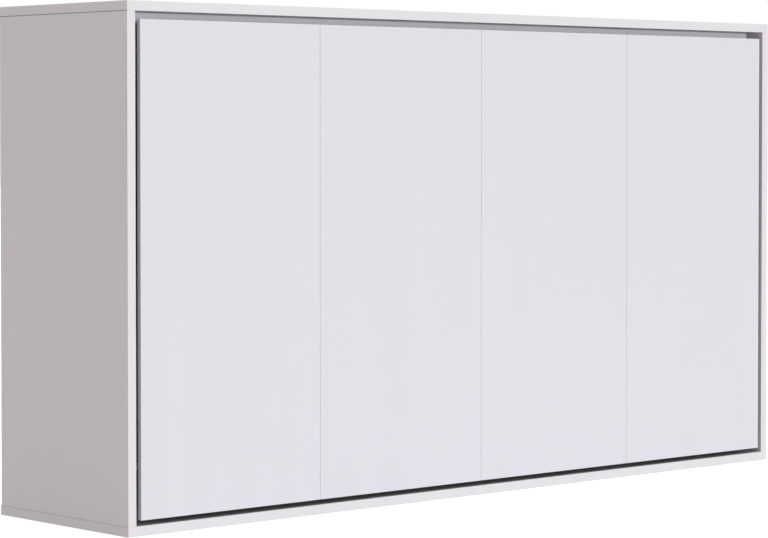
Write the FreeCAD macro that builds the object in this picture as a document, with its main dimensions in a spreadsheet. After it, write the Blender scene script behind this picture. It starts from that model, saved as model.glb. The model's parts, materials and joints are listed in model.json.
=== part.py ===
"""A fold-down wall bed: a wide white cabinet whose front is the underside of the bed.

Frame: millimetres, +Z up, +X to the right as one faces the cabinet, front at -Y.
The origin is on the floor, under the middle of the cabinet.
"""

import FreeCAD, Part
import math
import operator
import os
from types import SimpleNamespace

import Sketcher

SIZES = {
    # Mattress: it drives the length and height of the whole bed.
    "mattress_length": 2000,
    "mattress_width": 1000,
    "mattress_thickness": 180,
    "mattress_play": 3,
    "mattress_edge_round": 28,
    "mattress_seat_gap": 0.5,
    # Cabinet boards.
    "board": 22,
    "board_edge_round": 0.8,
    "mechanism_space": 37,
    "bedding_space": 222.5,
    "back_rail_height": 100,
    "stretcher_setback": 51,
    "stretcher_height": 25,
    "stretcher_depth": 100,
    # Thin back: sheets held by joining strips.
    "back_sheet": 3,
    "sheet_reveal": 2,
    "sheet_play": 0.5,
    "strip_flange": 1,
    "strip_width": 16,
    "strip_web": 1.6,
    "strip_play": 0.2,
    # Front panels and the gaps round them.
    "front_thickness": 12,
    "front_edge_round": 0.5,
    "side_gap": 13,
    "bottom_gap": 12,
    "top_gap": 17.5,
    "seam_gap": 0.7,
    "front_lip_bottom": 30,
    "front_lip_top": 49.5,
    # Board fittings: cams, their bolts, dowels.
    "cam_radius": 7.5,
    "cam_depth": 12,
    "cam_recess": 0.5,
    "cam_from_end": 24,
    "cam_bolt_radius": 3.5,
    "cam_bolt_bite": 11,
    "cam_slot_width": 1.6,
    "cam_slot_depth": 2,
    "dowel_radius": 4,
    "dowel_bite": 14,
    "fitting_play": 0.1,
    # Screws.
    "screw_play": 0.2,
    "panel_screw_radius": 2,
    "panel_screw_bite": 7,
    "panel_screw_head_radius": 4,
    "panel_screw_head": 2.4,
    "sheet_screw_radius": 1.5,
    "sheet_screw_bite": 13,
    "sheet_screw_head_radius": 3.2,
    "sheet_screw_head": 0.8,
    "plate_screw_radius": 2.5,
    "plate_screw_bite": 14,
    "plate_screw_head_radius": 4.5,
    "plate_screw_head": 2.5,
    "frame_bolt_radius": 4,
    "frame_bolt_head_radius": 6.5,
    "frame_bolt_head": 5,
    "frame_nut": 2,
    "wall_hole_radius": 4.5,
    "wall_hole_inset": 143,
    # Bed frame: bent steel rails and square tubes.
    "rail_sheet": 3,
    "rail_depth": 80,
    "rail_front_flange": 25,
    "rail_slat_flange": 30,
    "cross_rail_depth": 30,
    "cross_rail_width": 20,
    "cross_rail_wall": 2,
    # Slats and their holders.
    "slat_width": 68,
    "slat_thickness": 8,
    "slat_end_gap": 5,
    "slat_edge_round": 1.5,
    "holder_foot": 3,
    "holder_lid": 2,
    "holder_wall": 3,
    "holder_length": 42,
    "holder_play": 0.2,
    # Bed pivot.
    "pivot_setback": 56,
    "swing_clearance": 4,
    "pin_radius": 8,
    "pin_head_radius": 10.5,
    "pin_head": 2,
    "pin_play": 0.1,
    "pin_head_play": 0.2,
    "bush_wall": 2,
    "bush_flange": 2,
    "bush_flange_radius": 14,
    "pivot_plate": 4,
    "pivot_plate_half_depth": 34,
    "pivot_plate_half_height": 50,
    "pivot_plate_round": 8,
    "pivot_collar_radius": 12,
    "plate_screw_inset": 11,
    # Hinge plates on the bed.
    "hinge_plate": 6,
    "hinge_plate_rise": 46,
    "hinge_plate_front_gap": 6,
    "hinge_plate_margin": 17,
    "hinge_plate_round": 9,
    "hinge_bolt_inset": 14,
    # Gas struts.
    "strut_offset": 16,
    "strut_arm_back": 60,
    "strut_arm_drop": 74,
    "strut_anchor_back": 25,
    "strut_anchor_rise": 350,
    "strut_tube_radius": 11,
    "strut_tube_wall": 1.5,
    "strut_tube_start": 24,
    "strut_tube_length": 210,
    "strut_tube_cap": 6,
    "strut_rod_radius": 5,
    "strut_rod_play": 0.1,
    "strut_rod_inside": 32,
    "strut_piston_length": 8,
    "strut_piston_play": 0.3,
    "strut_eye_radius": 11,
    "strut_eye_width": 12,
    "strut_neck_radius": 5.5,
    "strut_stud_radius": 5,
    "strut_stud_play": 0.1,
    "strut_stud_head_radius": 8,
    "strut_stud_head": 2,
    "strut_open_gap": 0.3,
    "strut_bracket": 3,
    "strut_bracket_half_depth": 30,
    "strut_bracket_half_height": 34,
    # Legs.
    "leg_thickness": 6,
    "leg_width": 40,
    "leg_setback": 60,
    "leg_drop": 36,
    "leg_wall_gap": 3.5,
    "leg_pin_radius": 6,
    "leg_pin_play": 0.1,
    "leg_spacer_radius": 10,
    "leg_side_play": 0.3,
    "leg_pin_head_radius": 9,
    "leg_pin_head": 2,
    "foot_height": 30,
    "foot_wall": 2.2,
    "foot_side_wall": 3,
    "foot_pad": 10,
    "foot_round": 2,
    "floor_play": 0.3,
    # Leg mounts on the bed, and the stops that they meet in the cabinet.
    "leg_mount_plate": 4,
    "leg_mount_front_gap": 8,
    "leg_mount_rise": 30,
    "leg_mount_fall": 40,
    "leg_mount_reach": 26,
    "stop_plate": 3,
    "stop_length": 40,
    "stop_half_height": 22,
    "stop_play": 0.3,
    "stop_inner_gap": 8,
    "buffer_radius": 9,
    "buffer_height": 4,
    # Straps that hold the mattress and bedding.
    "strap_width": 30,
    "strap_thickness": 1.5,
    "strap_play": 0.3,
    "strap_offset": 515,
    "strap_run": 26,
    "anchor_thickness": 2,
    "anchor_depth": 20,
    "anchor_margin": 5,
    "buckle_height": 46,
    "buckle_margin": 5,
    "buckle_thickness": 9,
    # One overrun serves all cuts.
    "overrun": 1,
}

# Places along a board or rail, as shares of the length that they follow.
CAM_SHARES = (0.12, 0.5, 0.88)
DOWEL_SHARES = (0.28, 0.72)
RAIL_DOWEL_SHARES = (0.25, 0.75)
SHEET_SCREW_SHARES = (0.04, 0.35, 0.65, 0.96)
PANEL_SCREW_SHARES = (0.15, 0.85)
BUCKLE_SHARE = 0.62

FRONT_PANELS = 4
BACK_SHEETS = 4
SLATS = 14
WALL_HOLES = 4
SIDES = {"left": -1, "right": 1}
OPERATIONS = {"+": operator.add, "-": operator.sub, "*": operator.mul, "/": operator.truediv}
TURNS = {
    "x": FreeCAD.Rotation(FreeCAD.Vector(0, 1, 0), 90),
    "y": FreeCAD.Rotation(FreeCAD.Vector(1, 0, 0), -90),
    "z": FreeCAD.Rotation(),
}


class Size:
    """A length that keeps the sheet formula it comes from."""

    def __init__(self, value, formula):
        self.value = float(value)
        self.formula = formula

    def __float__(self):
        return self.value

    def __neg__(self):
        return Size(-self.value, f"(-{self.formula})")

    def __add__(self, other):
        return combine(self, "+", other)

    def __radd__(self, other):
        return combine(other, "+", self)

    def __sub__(self, other):
        return combine(self, "-", other)

    def __mul__(self, other):
        return combine(self, "*", other)

    def __rmul__(self, other):
        return combine(other, "*", self)

    def __truediv__(self, other):
        return combine(self, "/", other)


def as_size(value):
    return value if isinstance(value, Size) else Size(value, repr(value))


def combine(first, sign, second):
    first, second = as_size(first), as_size(second)
    value = OPERATIONS[sign](first.value, second.value)
    return Size(value, f"({first.formula} {sign} {second.formula})")


doc = FreeCAD.newDocument("WallBed")
sheet = doc.addObject("Spreadsheet::Sheet", "Sizes")
for row, (alias, number) in enumerate(SIZES.items(), start=1):
    sheet.set(f"A{row}", alias)
    sheet.set(f"B{row}", str(number))
    sheet.setAlias(f"B{row}", alias)
doc.recompute()
s = SimpleNamespace(**{alias: Size(sheet.get(alias), f"Sizes.{alias}") for alias in SIZES})
ZERO = Size(0, "0")


# Drawing helpers: every size and place goes in as a formula of the sheet.
def bind(item, **sizes):
    for name, size in sizes.items():
        item.setExpression(name, as_size(size).formula)


def put(item, x, y, z):
    for axis, size in zip("xyz", (x, y, z)):
        item.setExpression(f"Placement.Base.{axis}", as_size(size).formula)


def new_body(label):
    made = doc.addObject("PartDesign::Body", label)
    made.Label = label
    return made


def shape_block(item, x, y, z):
    bind(item, Length=x[1] - x[0], Width=y[1] - y[0], Height=z[1] - z[0])
    put(item, x[0], y[0], z[0])
    return item


def shape_round(item, axis, at, span, radius):
    """A cylinder along an axis; at gives its other two places, in X, Y, Z order."""
    item.Placement = FreeCAD.Placement(FreeCAD.Vector(), TURNS[axis])
    bind(item, Radius=radius, Height=span[1] - span[0])
    place = list(at)
    place.insert("xyz".index(axis), span[0])
    put(item, *place)
    return item


def add_block(owner, x, y, z):
    return shape_block(owner.newObject("PartDesign::AdditiveBox", "Block"), x, y, z)


def cut_block(owner, x, y, z):
    return shape_block(owner.newObject("PartDesign::SubtractiveBox", "Slot"), x, y, z)


def add_round(owner, axis, at, span, radius):
    return shape_round(owner.newObject("PartDesign::AdditiveCylinder", "Round"), axis, at, span, radius)


def drill(owner, axis, at, span, radius):
    return shape_round(owner.newObject("PartDesign::SubtractiveCylinder", "Hole"), axis, at, span, radius)


def soften(owner, radius, chosen=None):
    """Rounds the edges of the body's last feature, or only those that chosen(edge) picks."""
    doc.recompute()
    base = owner.Tip
    names = [
        f"Edge{number}"
        for number, edge in enumerate(base.Shape.Edges, start=1)
        if chosen is None or chosen(edge)
    ]
    fillet = owner.newObject("PartDesign::Fillet", "Softened")
    fillet.Base = (base, names)
    bind(fillet, Radius=radius)
    return fillet


def runs_along(axis):
    """Picks straight edges that run along one axis."""
    direction = {
        "x": FreeCAD.Vector(1, 0, 0),
        "y": FreeCAD.Vector(0, 1, 0),
        "z": FreeCAD.Vector(0, 0, 1),
    }[axis]

    def chosen(edge):
        if not isinstance(edge.Curve, Part.Line):
            return False
        return abs(edge.Curve.Direction.dot(direction)) > math.cos(math.radians(1))

    return chosen


def add_plate(owner, corners, x):
    """Pads a closed outline, drawn in Y and Z, from x[0] to x[1]."""
    plane = next(one for one in owner.Origin.OriginFeatures if one.Role == "YZ_Plane")
    sketch = owner.newObject("Sketcher::SketchObject", "Outline")
    sketch.AttachmentSupport = (plane, [""])
    sketch.MapMode = "FlatFace"
    sketch.setExpression("AttachmentOffset.Base.z", x[0].formula)
    count = len(corners)
    for number in range(count):
        start, end = corners[number], corners[(number + 1) % count]
        first = FreeCAD.Vector(float(start[0]), float(start[1]), 0)
        last = FreeCAD.Vector(float(end[0]), float(end[1]), 0)
        sketch.addGeometry(Part.LineSegment(first, last))
    for number in range(count):
        following = (number + 1) % count
        sketch.addConstraint(Sketcher.Constraint("Coincident", number, 2, following, 1))
    for number, corner in enumerate(corners):
        for kind, size in zip(("DistanceX", "DistanceY"), corner):
            place = sketch.addConstraint(Sketcher.Constraint(kind, -1, 1, number, 1, float(size)))
            sketch.setExpression(f"Constraints[{place}]", size.formula)
    pad = owner.newObject("PartDesign::Pad", "Thickness")
    pad.Profile = sketch
    bind(pad, Length=x[1] - x[0])
    return pad


def loose_block(x, y, z):
    return shape_block(doc.addObject("Part::Box", "Block"), x, y, z)


def loose_round(axis, at, span, radius):
    return shape_round(doc.addObject("Part::Cylinder", "Round"), axis, at, span, radius)


def fuse(items):
    made = doc.addObject("Part::MultiFuse", "Joined")
    made.Shapes = items
    return made


def cut(base, tool):
    made = doc.addObject("Part::Cut", "Cut")
    made.Base, made.Tool = base, tool
    return made


def group(label, items):
    """Identical pieces that share one name, each a solid of its own."""
    made = doc.addObject("Part::Compound", label)
    made.Label = label
    made.Links = items
    return made


def screw(axis, at, head, shank, head_radius, shank_radius):
    return fuse([loose_round(axis, at, head, head_radius), loose_round(axis, at, shank, shank_radius)])


def across(side, near, far):
    """The span from near to far on one side of the middle, lowest first."""
    return (near, far) if side > 0 else (-far, -near)


def share_of(span, share):
    return span[0] + (span[1] - span[0]) * share


# Places that follow from the sizes.
end_in = s.mattress_length / 2 + s.mattress_play
end_out = end_in + s.rail_sheet
side_in = end_out + s.mechanism_space
half_width = side_in + s.board

panel_bottom = s.board + s.bottom_gap
rail_bottom = panel_bottom + s.front_lip_bottom
mattress_z = (
    rail_bottom + s.rail_sheet + s.mattress_play,
    rail_bottom + s.rail_sheet + s.mattress_play + s.mattress_width,
)
rail_top = mattress_z[1] + s.mattress_play + s.rail_sheet
panel_top = rail_top + s.front_lip_top
inner_top = panel_top + s.top_gap
cabinet_height = inner_top + s.board

slat_flange_depth = s.front_thickness + s.cross_rail_depth
holder_depth = slat_flange_depth + s.rail_sheet
slat_depth = holder_depth + s.holder_foot
mattress_depth = slat_depth + s.slat_thickness + s.holder_lid + s.mattress_seat_gap
mattress_rear = mattress_depth + s.mattress_thickness
back_rail_depth = mattress_rear + s.bedding_space
side_depth = back_rail_depth + s.board
cabinet_depth = side_depth + s.back_sheet + s.strip_flange


def from_front(distance):
    """The Y of a plane that lies this far behind the cabinet's front."""
    return distance - cabinet_depth / 2


front_y = from_front(ZERO)
back_y = from_front(cabinet_depth)
side_back = from_front(side_depth)
panel_back = from_front(s.front_thickness)
rail_y = (panel_back, from_front(s.front_thickness + s.rail_depth))
front_flange_y = (panel_back, from_front(s.front_thickness + s.rail_sheet))
slat_flange_y = (from_front(slat_flange_depth), from_front(holder_depth))
panels_half = side_in - s.side_gap

# The lower edge of the front swings past the bottom board with swing_clearance to spare.
pivot_rise = (
    (s.bottom_gap * s.bottom_gap + s.pivot_setback * s.pivot_setback - s.swing_clearance * s.swing_clearance)
    / (s.bottom_gap - s.swing_clearance)
    / 2
)
pivot_y = from_front(s.pivot_setback)
pivot_z = s.board + pivot_rise
leg_y = from_front(s.leg_setback)
leg_z = rail_top - s.leg_drop
leg_length = pivot_z + s.leg_setback - s.pivot_setback - s.floor_play
leg_x = (side_in - s.leg_wall_gap - s.leg_thickness, side_in - s.leg_wall_gap)
strut_x = side_in - s.strut_offset
arm_y, arm_z = pivot_y + s.strut_arm_back, pivot_z - s.strut_arm_drop
anchor_y, anchor_z = pivot_y + s.strut_anchor_back, pivot_z + s.strut_anchor_rise
side_y = (front_y, side_back)
side_z = (s.board, inner_top)
lower_rail_z = (s.board, s.board + s.back_rail_height)
upper_rail_z = (inner_top - s.back_rail_height, inner_top)
back_rail_y = (from_front(back_rail_depth), side_back)
stretcher_y = (from_front(s.stretcher_setback), from_front(s.stretcher_setback + s.stretcher_depth))
stretcher_z = (inner_top - s.stretcher_height, inner_top)
full_x = (-half_width, half_width)
inner_x = (-side_in, side_in)
board_middle = side_in + s.board / 2


def board(label, x, y, z):
    """A coated board with its corners just broken."""
    made = new_body(label)
    add_block(made, x, y, z)
    soften(made, s.board_edge_round)
    return made


# Where the fittings of the cabinet sit.
CAM_PLACES = [share_of(side_y, share) for share in CAM_SHARES]
DOWEL_PLACES = [share_of(side_y, share) for share in DOWEL_SHARES]
SEAM_PLACES = [share_of((-half_width, half_width), number / BACK_SHEETS) for number in range(1, BACK_SHEETS)]
RAIL_SPANS = {
    "upper_back_rail": (back_rail_y, upper_rail_z),
    "lower_back_rail": (back_rail_y, lower_rail_z),
    "top_stretcher": (stretcher_y, stretcher_z),
}


def rail_dowel_places(y, z):
    """Two dowels in each end of a cross board, along its longer edge."""
    if float(z[1] - z[0]) > float(y[1] - y[0]):
        return [(share_of(y, 1 / 2), share_of(z, share)) for share in RAIL_DOWEL_SHARES]
    return [(share_of(y, share), share_of(z, 1 / 2)) for share in RAIL_DOWEL_SHARES]


def sheet_screw_places():
    """Screws round each back sheet: into the sides, and into both back rails."""
    places = []
    for side in SIDES.values():
        for share in SHEET_SCREW_SHARES:
            places.append((side * board_middle, share_of(side_z, share)))
    for z in (upper_rail_z, lower_rail_z):
        for number in range(BACK_SHEETS):
            middle = share_of(full_x, (number + 1 / 2) / BACK_SHEETS)
            places.append((middle, share_of(z, 1 / 2)))
    return places


def plate_screw_places():
    """Screws of the fittings on the sides: (y, z, thickness of the fitting)."""
    places = []
    for along in (-1, 1):
        for up in (-1, 1):
            y = pivot_y + along * (s.pivot_plate_half_depth - s.plate_screw_inset)
            z = pivot_z + up * (s.pivot_plate_half_height - s.plate_screw_inset)
            places.append((y, z, s.pivot_plate))
            y = anchor_y + along * (s.strut_bracket_half_depth - s.plate_screw_inset)
            z = anchor_z + up * (s.strut_bracket_half_height - s.plate_screw_inset)
            places.append((y, z, s.strut_bracket))
    for up in (-1, 1):
        z = leg_mount_middle + up * (s.stop_half_height - s.plate_screw_inset)
        places.append((share_of(stop_y, 2 / 3), z, s.stop_plate))
    return places


leg_mount_middle = leg_z - s.leg_mount_fall / 2
stop_front = rail_y[1] + s.stop_play + s.buffer_height
stop_y = (stop_front, stop_front + s.stop_length)


# Cabinet boards.
def drill_for_dowel(owner, axis, at, mouth, inward):
    """A blind dowel hole from a face into the board."""
    depth = (s.dowel_bite + s.fitting_play) * inward
    start = mouth - s.overrun * inward
    span = (start, mouth + depth) if inward > 0 else (mouth + depth, start)
    drill(owner, axis, at, span, s.dowel_radius + s.fitting_play)


def make_side(name, side):
    made = board(f"side_panel_{name}", across(side, side_in, half_width), side_y, side_z)
    pocket = across(side, side_in - s.overrun, side_in + s.cam_recess + s.cam_depth + s.fitting_play)
    for end, up in ((side_z[0], 1), (side_z[1], -1)):
        cam_z = end + up * s.cam_from_end
        bolt_hole = (end - s.overrun, cam_z) if up > 0 else (cam_z, end + s.overrun)
        for y in CAM_PLACES:
            drill(made, "x", (y, cam_z), pocket, s.cam_radius + s.fitting_play)
            drill(made, "z", (side * board_middle, y), bolt_hole, s.cam_bolt_radius + s.fitting_play)
        for y in DOWEL_PLACES:
            drill_for_dowel(made, "z", (side * board_middle, y), end, up)
    for y, z in RAIL_SPANS.values():
        for at in rail_dowel_places(y, z):
            drill_for_dowel(made, "x", at, side * side_in, side)
    for x, z in sheet_screw_places():
        if abs(float(x)) > float(side_in) and float(x) * side > 0:
            span = (side_back - s.sheet_screw_bite, side_back + s.overrun)
            drill(made, "y", (x, z), span, s.sheet_screw_radius + s.screw_play)
    for y, z, _ in plate_screw_places():
        span = across(side, side_in - s.overrun, side_in + s.plate_screw_bite)
        drill(made, "x", (y, z), span, s.plate_screw_radius + s.screw_play)
    return made


def make_cap_board(label, z, face, up):
    """The top or bottom board; face is the side that meets the uprights."""
    made = board(label, full_x, (front_y, back_y), z)
    depth = (s.cam_bolt_bite + s.fitting_play) * up
    start = face - s.overrun * up
    span = (start, face + depth) if up > 0 else (face + depth, start)
    for side in SIDES.values():
        for y in CAM_PLACES:
            drill(made, "z", (side * board_middle, y), span, s.cam_bolt_radius + s.fitting_play)
        for y in DOWEL_PLACES:
            drill_for_dowel(made, "z", (side * board_middle, y), face, up)
    return made


def make_cross_board(label, y, z):
    """A rail that joins the two sides, with dowels in its ends."""
    made = board(label, inner_x, y, z)
    for side in SIDES.values():
        for at in rail_dowel_places(y, z):
            drill_for_dowel(made, "x", at, side * side_in, -side)
    if y is back_rail_y:
        for x, screw_z in sheet_screw_places():
            if abs(float(x)) < float(side_in) and float(z[0]) < float(screw_z) < float(z[1]):
                span = (side_back - s.sheet_screw_bite, side_back + s.overrun)
                drill(made, "y", (x, screw_z), span, s.sheet_screw_radius + s.screw_play)
    return made


def wall_hole_places():
    """Holes in a line for the screws that tie the cabinet to a wall."""
    row = (inner_x[0] + s.wall_hole_inset, inner_x[1] - s.wall_hole_inset)
    z = share_of(upper_rail_z, 3 / 4)
    return [(share_of(row, number / (WALL_HOLES - 1)), z) for number in range(WALL_HOLES)]


def make_cabinet():
    for name, side in SIDES.items():
        make_side(name, side)
    make_cap_board("top_panel", (inner_top, cabinet_height), inner_top, 1)
    make_cap_board("bottom_panel", (ZERO, s.board), s.board, -1)
    for label, (y, z) in RAIL_SPANS.items():
        made = make_cross_board(label, y, z)
        if label == "upper_back_rail":
            for at in wall_hole_places():
                drill(made, "y", at, (y[0] - s.overrun, y[1] + s.overrun), s.wall_hole_radius)


def make_back():
    """Thin sheets over the back edges, with joining strips between them."""
    sheet_y = (side_back, side_back + s.back_sheet)
    sheet_z = (side_z[0] + s.sheet_play, side_z[1] - s.sheet_play)
    edges = [full_x[0] + s.sheet_reveal] + SEAM_PLACES + [full_x[1] - s.sheet_reveal]
    for number in range(BACK_SHEETS):
        low, high = edges[number], edges[number + 1]
        if number > 0:
            low = low + s.strip_web / 2 + s.strip_play
        if number < BACK_SHEETS - 1:
            high = high - s.strip_web / 2 - s.strip_play
        made = new_body(f"back_sheet_{number + 1}")
        add_block(made, (low, high), sheet_y, sheet_z)
        for x, z in sheet_screw_places():
            if float(low) < float(x) < float(high):
                span = (sheet_y[0] - s.overrun, sheet_y[1] + s.overrun)
                drill(made, "y", (x, z), span, s.sheet_screw_radius + s.screw_play)
        for x, z in wall_hole_places():
            if float(low) < float(x) < float(high):
                drill(made, "y", (x, z), (sheet_y[0] - s.overrun, sheet_y[1] + s.overrun), s.wall_hole_radius)
    strips = []
    for x in SEAM_PLACES:
        web = (x - s.strip_web / 2, x + s.strip_web / 2)
        flange = (x - s.strip_width / 2, x + s.strip_width / 2)
        inner_z = (lower_rail_z[1] + s.sheet_play, upper_rail_z[0] - s.sheet_play)
        strips.append(
            fuse(
                [
                    loose_block(web, (sheet_y[0], back_y), sheet_z),
                    loose_block(flange, (sheet_y[1], back_y), sheet_z),
                    loose_block(web, (sheet_y[0] - s.strip_flange, sheet_y[1]), inner_z),
                    loose_block(flange, (sheet_y[0] - s.strip_flange, sheet_y[0]), inner_z),
                ]
            )
        )
    group("back_joining_strips", strips)
    screws = []
    for x, z in sheet_screw_places():
        head = (sheet_y[1], sheet_y[1] + s.sheet_screw_head)
        shank = (side_back - s.sheet_screw_bite, sheet_y[1])
        screws.append(screw("y", (x, z), head, shank, s.sheet_screw_head_radius, s.sheet_screw_radius))
    group("back_sheet_screws", screws)


def make_board_fittings():
    """Cams, their bolts and the dowels that hold the boards together."""
    cams, bolts, dowels = [], [], []
    for side in SIDES.values():
        disc = across(side, side_in + s.cam_recess, side_in + s.cam_recess + s.cam_depth)
        slot = across(side, side_in, side_in + s.cam_recess + s.cam_slot_depth)
        for face, up in ((side_z[0], 1), (side_z[1], -1)):
            cam_z = face + up * s.cam_from_end
            rim = cam_z - up * (s.cam_radius + s.fitting_play)
            tip = face - up * s.cam_bolt_bite
            for y in CAM_PLACES:
                cross = [
                    loose_block(
                        slot,
                        (y - s.cam_radius / 2, y + s.cam_radius / 2),
                        (cam_z - s.cam_slot_width / 2, cam_z + s.cam_slot_width / 2),
                    ),
                    loose_block(
                        slot,
                        (y - s.cam_slot_width / 2, y + s.cam_slot_width / 2),
                        (cam_z - s.cam_radius / 2, cam_z + s.cam_radius / 2),
                    ),
                ]
                cams.append(cut(loose_round("x", (y, cam_z), disc, s.cam_radius), fuse(cross)))
                span = (tip, rim) if up > 0 else (rim, tip)
                bolts.append(loose_round("z", (side * board_middle, y), span, s.cam_bolt_radius))
            for y in DOWEL_PLACES:
                span = (face - s.dowel_bite, face + s.dowel_bite)
                dowels.append(loose_round("z", (side * board_middle, y), span, s.dowel_radius))
        for y, z in RAIL_SPANS.values():
            for at in rail_dowel_places(y, z):
                span = across(side, side_in - s.dowel_bite, side_in + s.dowel_bite)
                dowels.append(loose_round("x", at, span, s.dowel_radius))
    group("corner_cams", cams)
    group("corner_cam_bolts", bolts)
    group("wooden_dowels", dowels)


# Fittings on the sides of the cabinet.
def make_pivot(name, side):
    """The steel plate on the side, and the shoulder pin that carries the bed."""
    plate_x = across(side, side_in - s.pivot_plate, side_in)
    y = (pivot_y - s.pivot_plate_half_depth, pivot_y + s.pivot_plate_half_depth)
    z = (pivot_z - s.pivot_plate_half_height, pivot_z + s.pivot_plate_half_height)
    plate = new_body(f"pivot_plate_{name}")
    add_block(plate, plate_x, y, z)
    soften(plate, s.pivot_plate_round, runs_along("x"))
    through = across(side, side_in - s.pivot_plate - s.overrun, side_in + s.overrun)
    drill(plate, "x", (pivot_y, pivot_z), through, s.pin_radius + s.pin_play)
    for screw_y, screw_z, thickness in plate_screw_places():
        if thickness is s.pivot_plate:
            drill(plate, "x", (screw_y, screw_z), through, s.plate_screw_radius + s.screw_play)
    pin = new_body(f"pivot_pin_{name}")
    head_end = end_in - s.pin_head_play
    bush_end = end_out + s.hinge_plate + s.bush_flange
    add_round(pin, "x", (pivot_y, pivot_z), across(side, head_end, side_in), s.pin_radius)
    add_round(pin, "x", (pivot_y, pivot_z), across(side, head_end - s.pin_head, head_end), s.pin_head_radius)
    collar = across(side, bush_end + s.pin_head_play, side_in - s.pivot_plate)
    add_round(pin, "x", (pivot_y, pivot_z), collar, s.pivot_collar_radius)


def make_strut_bracket(name, side):
    """The plate and stud that carry the upper end of a gas strut."""
    made = new_body(f"strut_bracket_{name}")
    plate_x = across(side, side_in - s.strut_bracket, side_in)
    y = (anchor_y - s.strut_bracket_half_depth, anchor_y + s.strut_bracket_half_depth)
    z = (anchor_z - s.strut_bracket_half_height, anchor_z + s.strut_bracket_half_height)
    add_block(made, plate_x, y, z)
    soften(made, s.pivot_plate_round, runs_along("x"))
    eye = (strut_x - s.strut_eye_width / 2, strut_x + s.strut_eye_width / 2)
    at = (anchor_y, anchor_z)
    shoulder = across(side, eye[1] + s.strut_open_gap, side_in - s.strut_bracket)
    stud = across(side, eye[0] - s.strut_open_gap, side_in - s.strut_bracket)
    head = across(side, eye[0] - s.strut_open_gap - s.strut_stud_head, eye[0] - s.strut_open_gap)
    add_round(made, "x", at, shoulder, s.strut_stud_head_radius)
    add_round(made, "x", at, stud, s.strut_stud_radius)
    add_round(made, "x", at, head, s.strut_stud_head_radius)
    for screw_y, screw_z, thickness in plate_screw_places():
        if thickness is s.strut_bracket:
            through = across(side, side_in - thickness - s.overrun, side_in + s.overrun)
            drill(made, "x", (screw_y, screw_z), through, s.plate_screw_radius + s.screw_play)


def make_closing_stop(name, side):
    """The angle that the closed bed leans on, through a rubber buffer."""
    made = new_body(f"closing_stop_{name}")
    z = (leg_mount_middle - s.stop_half_height, leg_mount_middle + s.stop_half_height)
    add_block(made, across(side, side_in - s.stop_plate, side_in), stop_y, z)
    wing = across(side, end_out + s.stop_inner_gap, side_in)
    add_block(made, wing, (stop_y[0], stop_y[0] + s.stop_plate), z)
    for y, screw_z, thickness in plate_screw_places():
        if thickness is s.stop_plate:
            through = across(side, side_in - thickness - s.overrun, side_in + s.overrun)
            drill(made, "x", (y, screw_z), through, s.plate_screw_radius + s.screw_play)
    middle = side * share_of((end_out + s.stop_inner_gap, side_in - s.stop_plate), 1 / 2)
    buffer_y = (stop_y[0] - s.buffer_height, stop_y[0])
    return loose_round("y", (middle, leg_mount_middle), buffer_y, s.buffer_radius)


def make_plate_screws():
    screws = []
    for side in SIDES.values():
        for y, z, thickness in plate_screw_places():
            head = across(side, side_in - thickness - s.plate_screw_head, side_in - thickness)
            shank = across(side, side_in - thickness, side_in + s.plate_screw_bite)
            screws.append(screw("x", (y, z), head, shank, s.plate_screw_head_radius, s.plate_screw_radius))
    group("side_fitting_screws", screws)


# Front panels.
panel_z = (panel_bottom, panel_top)
panels_x = (-panels_half, panels_half)


def panel_edges(number):
    """The two upright edges of one front panel."""
    low = share_of(panels_x, number / FRONT_PANELS)
    high = share_of(panels_x, (number + 1) / FRONT_PANELS)
    if number > 0:
        low = low + s.seam_gap / 2
    if number < FRONT_PANELS - 1:
        high = high - s.seam_gap / 2
    return low, high


def panel_screw_places(number):
    """Screws through the rails' front flanges into one panel."""
    edges = panel_edges(number)
    inset = s.rail_front_flange / 2
    rows = (rail_bottom + s.rail_sheet + inset, rail_top - s.rail_sheet - inset)
    return [(share_of(edges, share), z) for share in PANEL_SCREW_SHARES for z in rows]


def make_front_panels():
    screws = []
    for number in range(FRONT_PANELS):
        made = new_body(f"front_panel_{number + 1}")
        add_block(made, panel_edges(number), (front_y, panel_back), panel_z)
        soften(made, s.front_edge_round)
        for at in panel_screw_places(number):
            bite = (panel_back - s.panel_screw_bite, panel_back + s.overrun)
            drill(made, "y", at, bite, s.panel_screw_radius + s.screw_play)
            head = (front_flange_y[1], front_flange_y[1] + s.panel_screw_head)
            shank = (panel_back - s.panel_screw_bite + s.screw_play, front_flange_y[1])
            screws.append(screw("y", at, head, shank, s.panel_screw_head_radius, s.panel_screw_radius))
    group("front_panel_screws", screws)


# Bed frame.
def make_long_rail(label, outer, up):
    """A rail along the bed: an upright leg, a front flange and a flange for the slats."""
    made = new_body(label)

    def inward(depth):
        far = outer + up * depth
        return (outer, far) if up > 0 else (far, outer)

    flange_x = (-end_in, end_in)
    add_block(made, (-end_out, end_out), rail_y, inward(s.rail_sheet))
    add_block(made, flange_x, front_flange_y, inward(s.rail_sheet + s.rail_front_flange))
    add_block(made, flange_x, slat_flange_y, inward(s.rail_sheet + s.rail_slat_flange))
    for number in range(FRONT_PANELS):
        for x, z in panel_screw_places(number):
            if float(inward(s.rail_slat_flange)[0]) < float(z) < float(inward(s.rail_slat_flange)[1]):
                span = (front_flange_y[0] - s.overrun, front_flange_y[1] + s.overrun)
                drill(made, "y", (x, z), span, s.panel_screw_radius + s.screw_play)
    return made


def hinge_bolt_places():
    """Bolts that hold a hinge plate to the end rail."""
    front = from_front(s.front_thickness + s.hinge_plate_front_gap) + s.hinge_bolt_inset
    back = rail_y[1] - s.hinge_bolt_inset
    top = pivot_z + s.hinge_plate_rise - s.hinge_bolt_inset
    bottom = arm_z - s.hinge_plate_margin + s.hinge_bolt_inset
    return [(front, top), (back, top), (front, bottom)]


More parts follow.
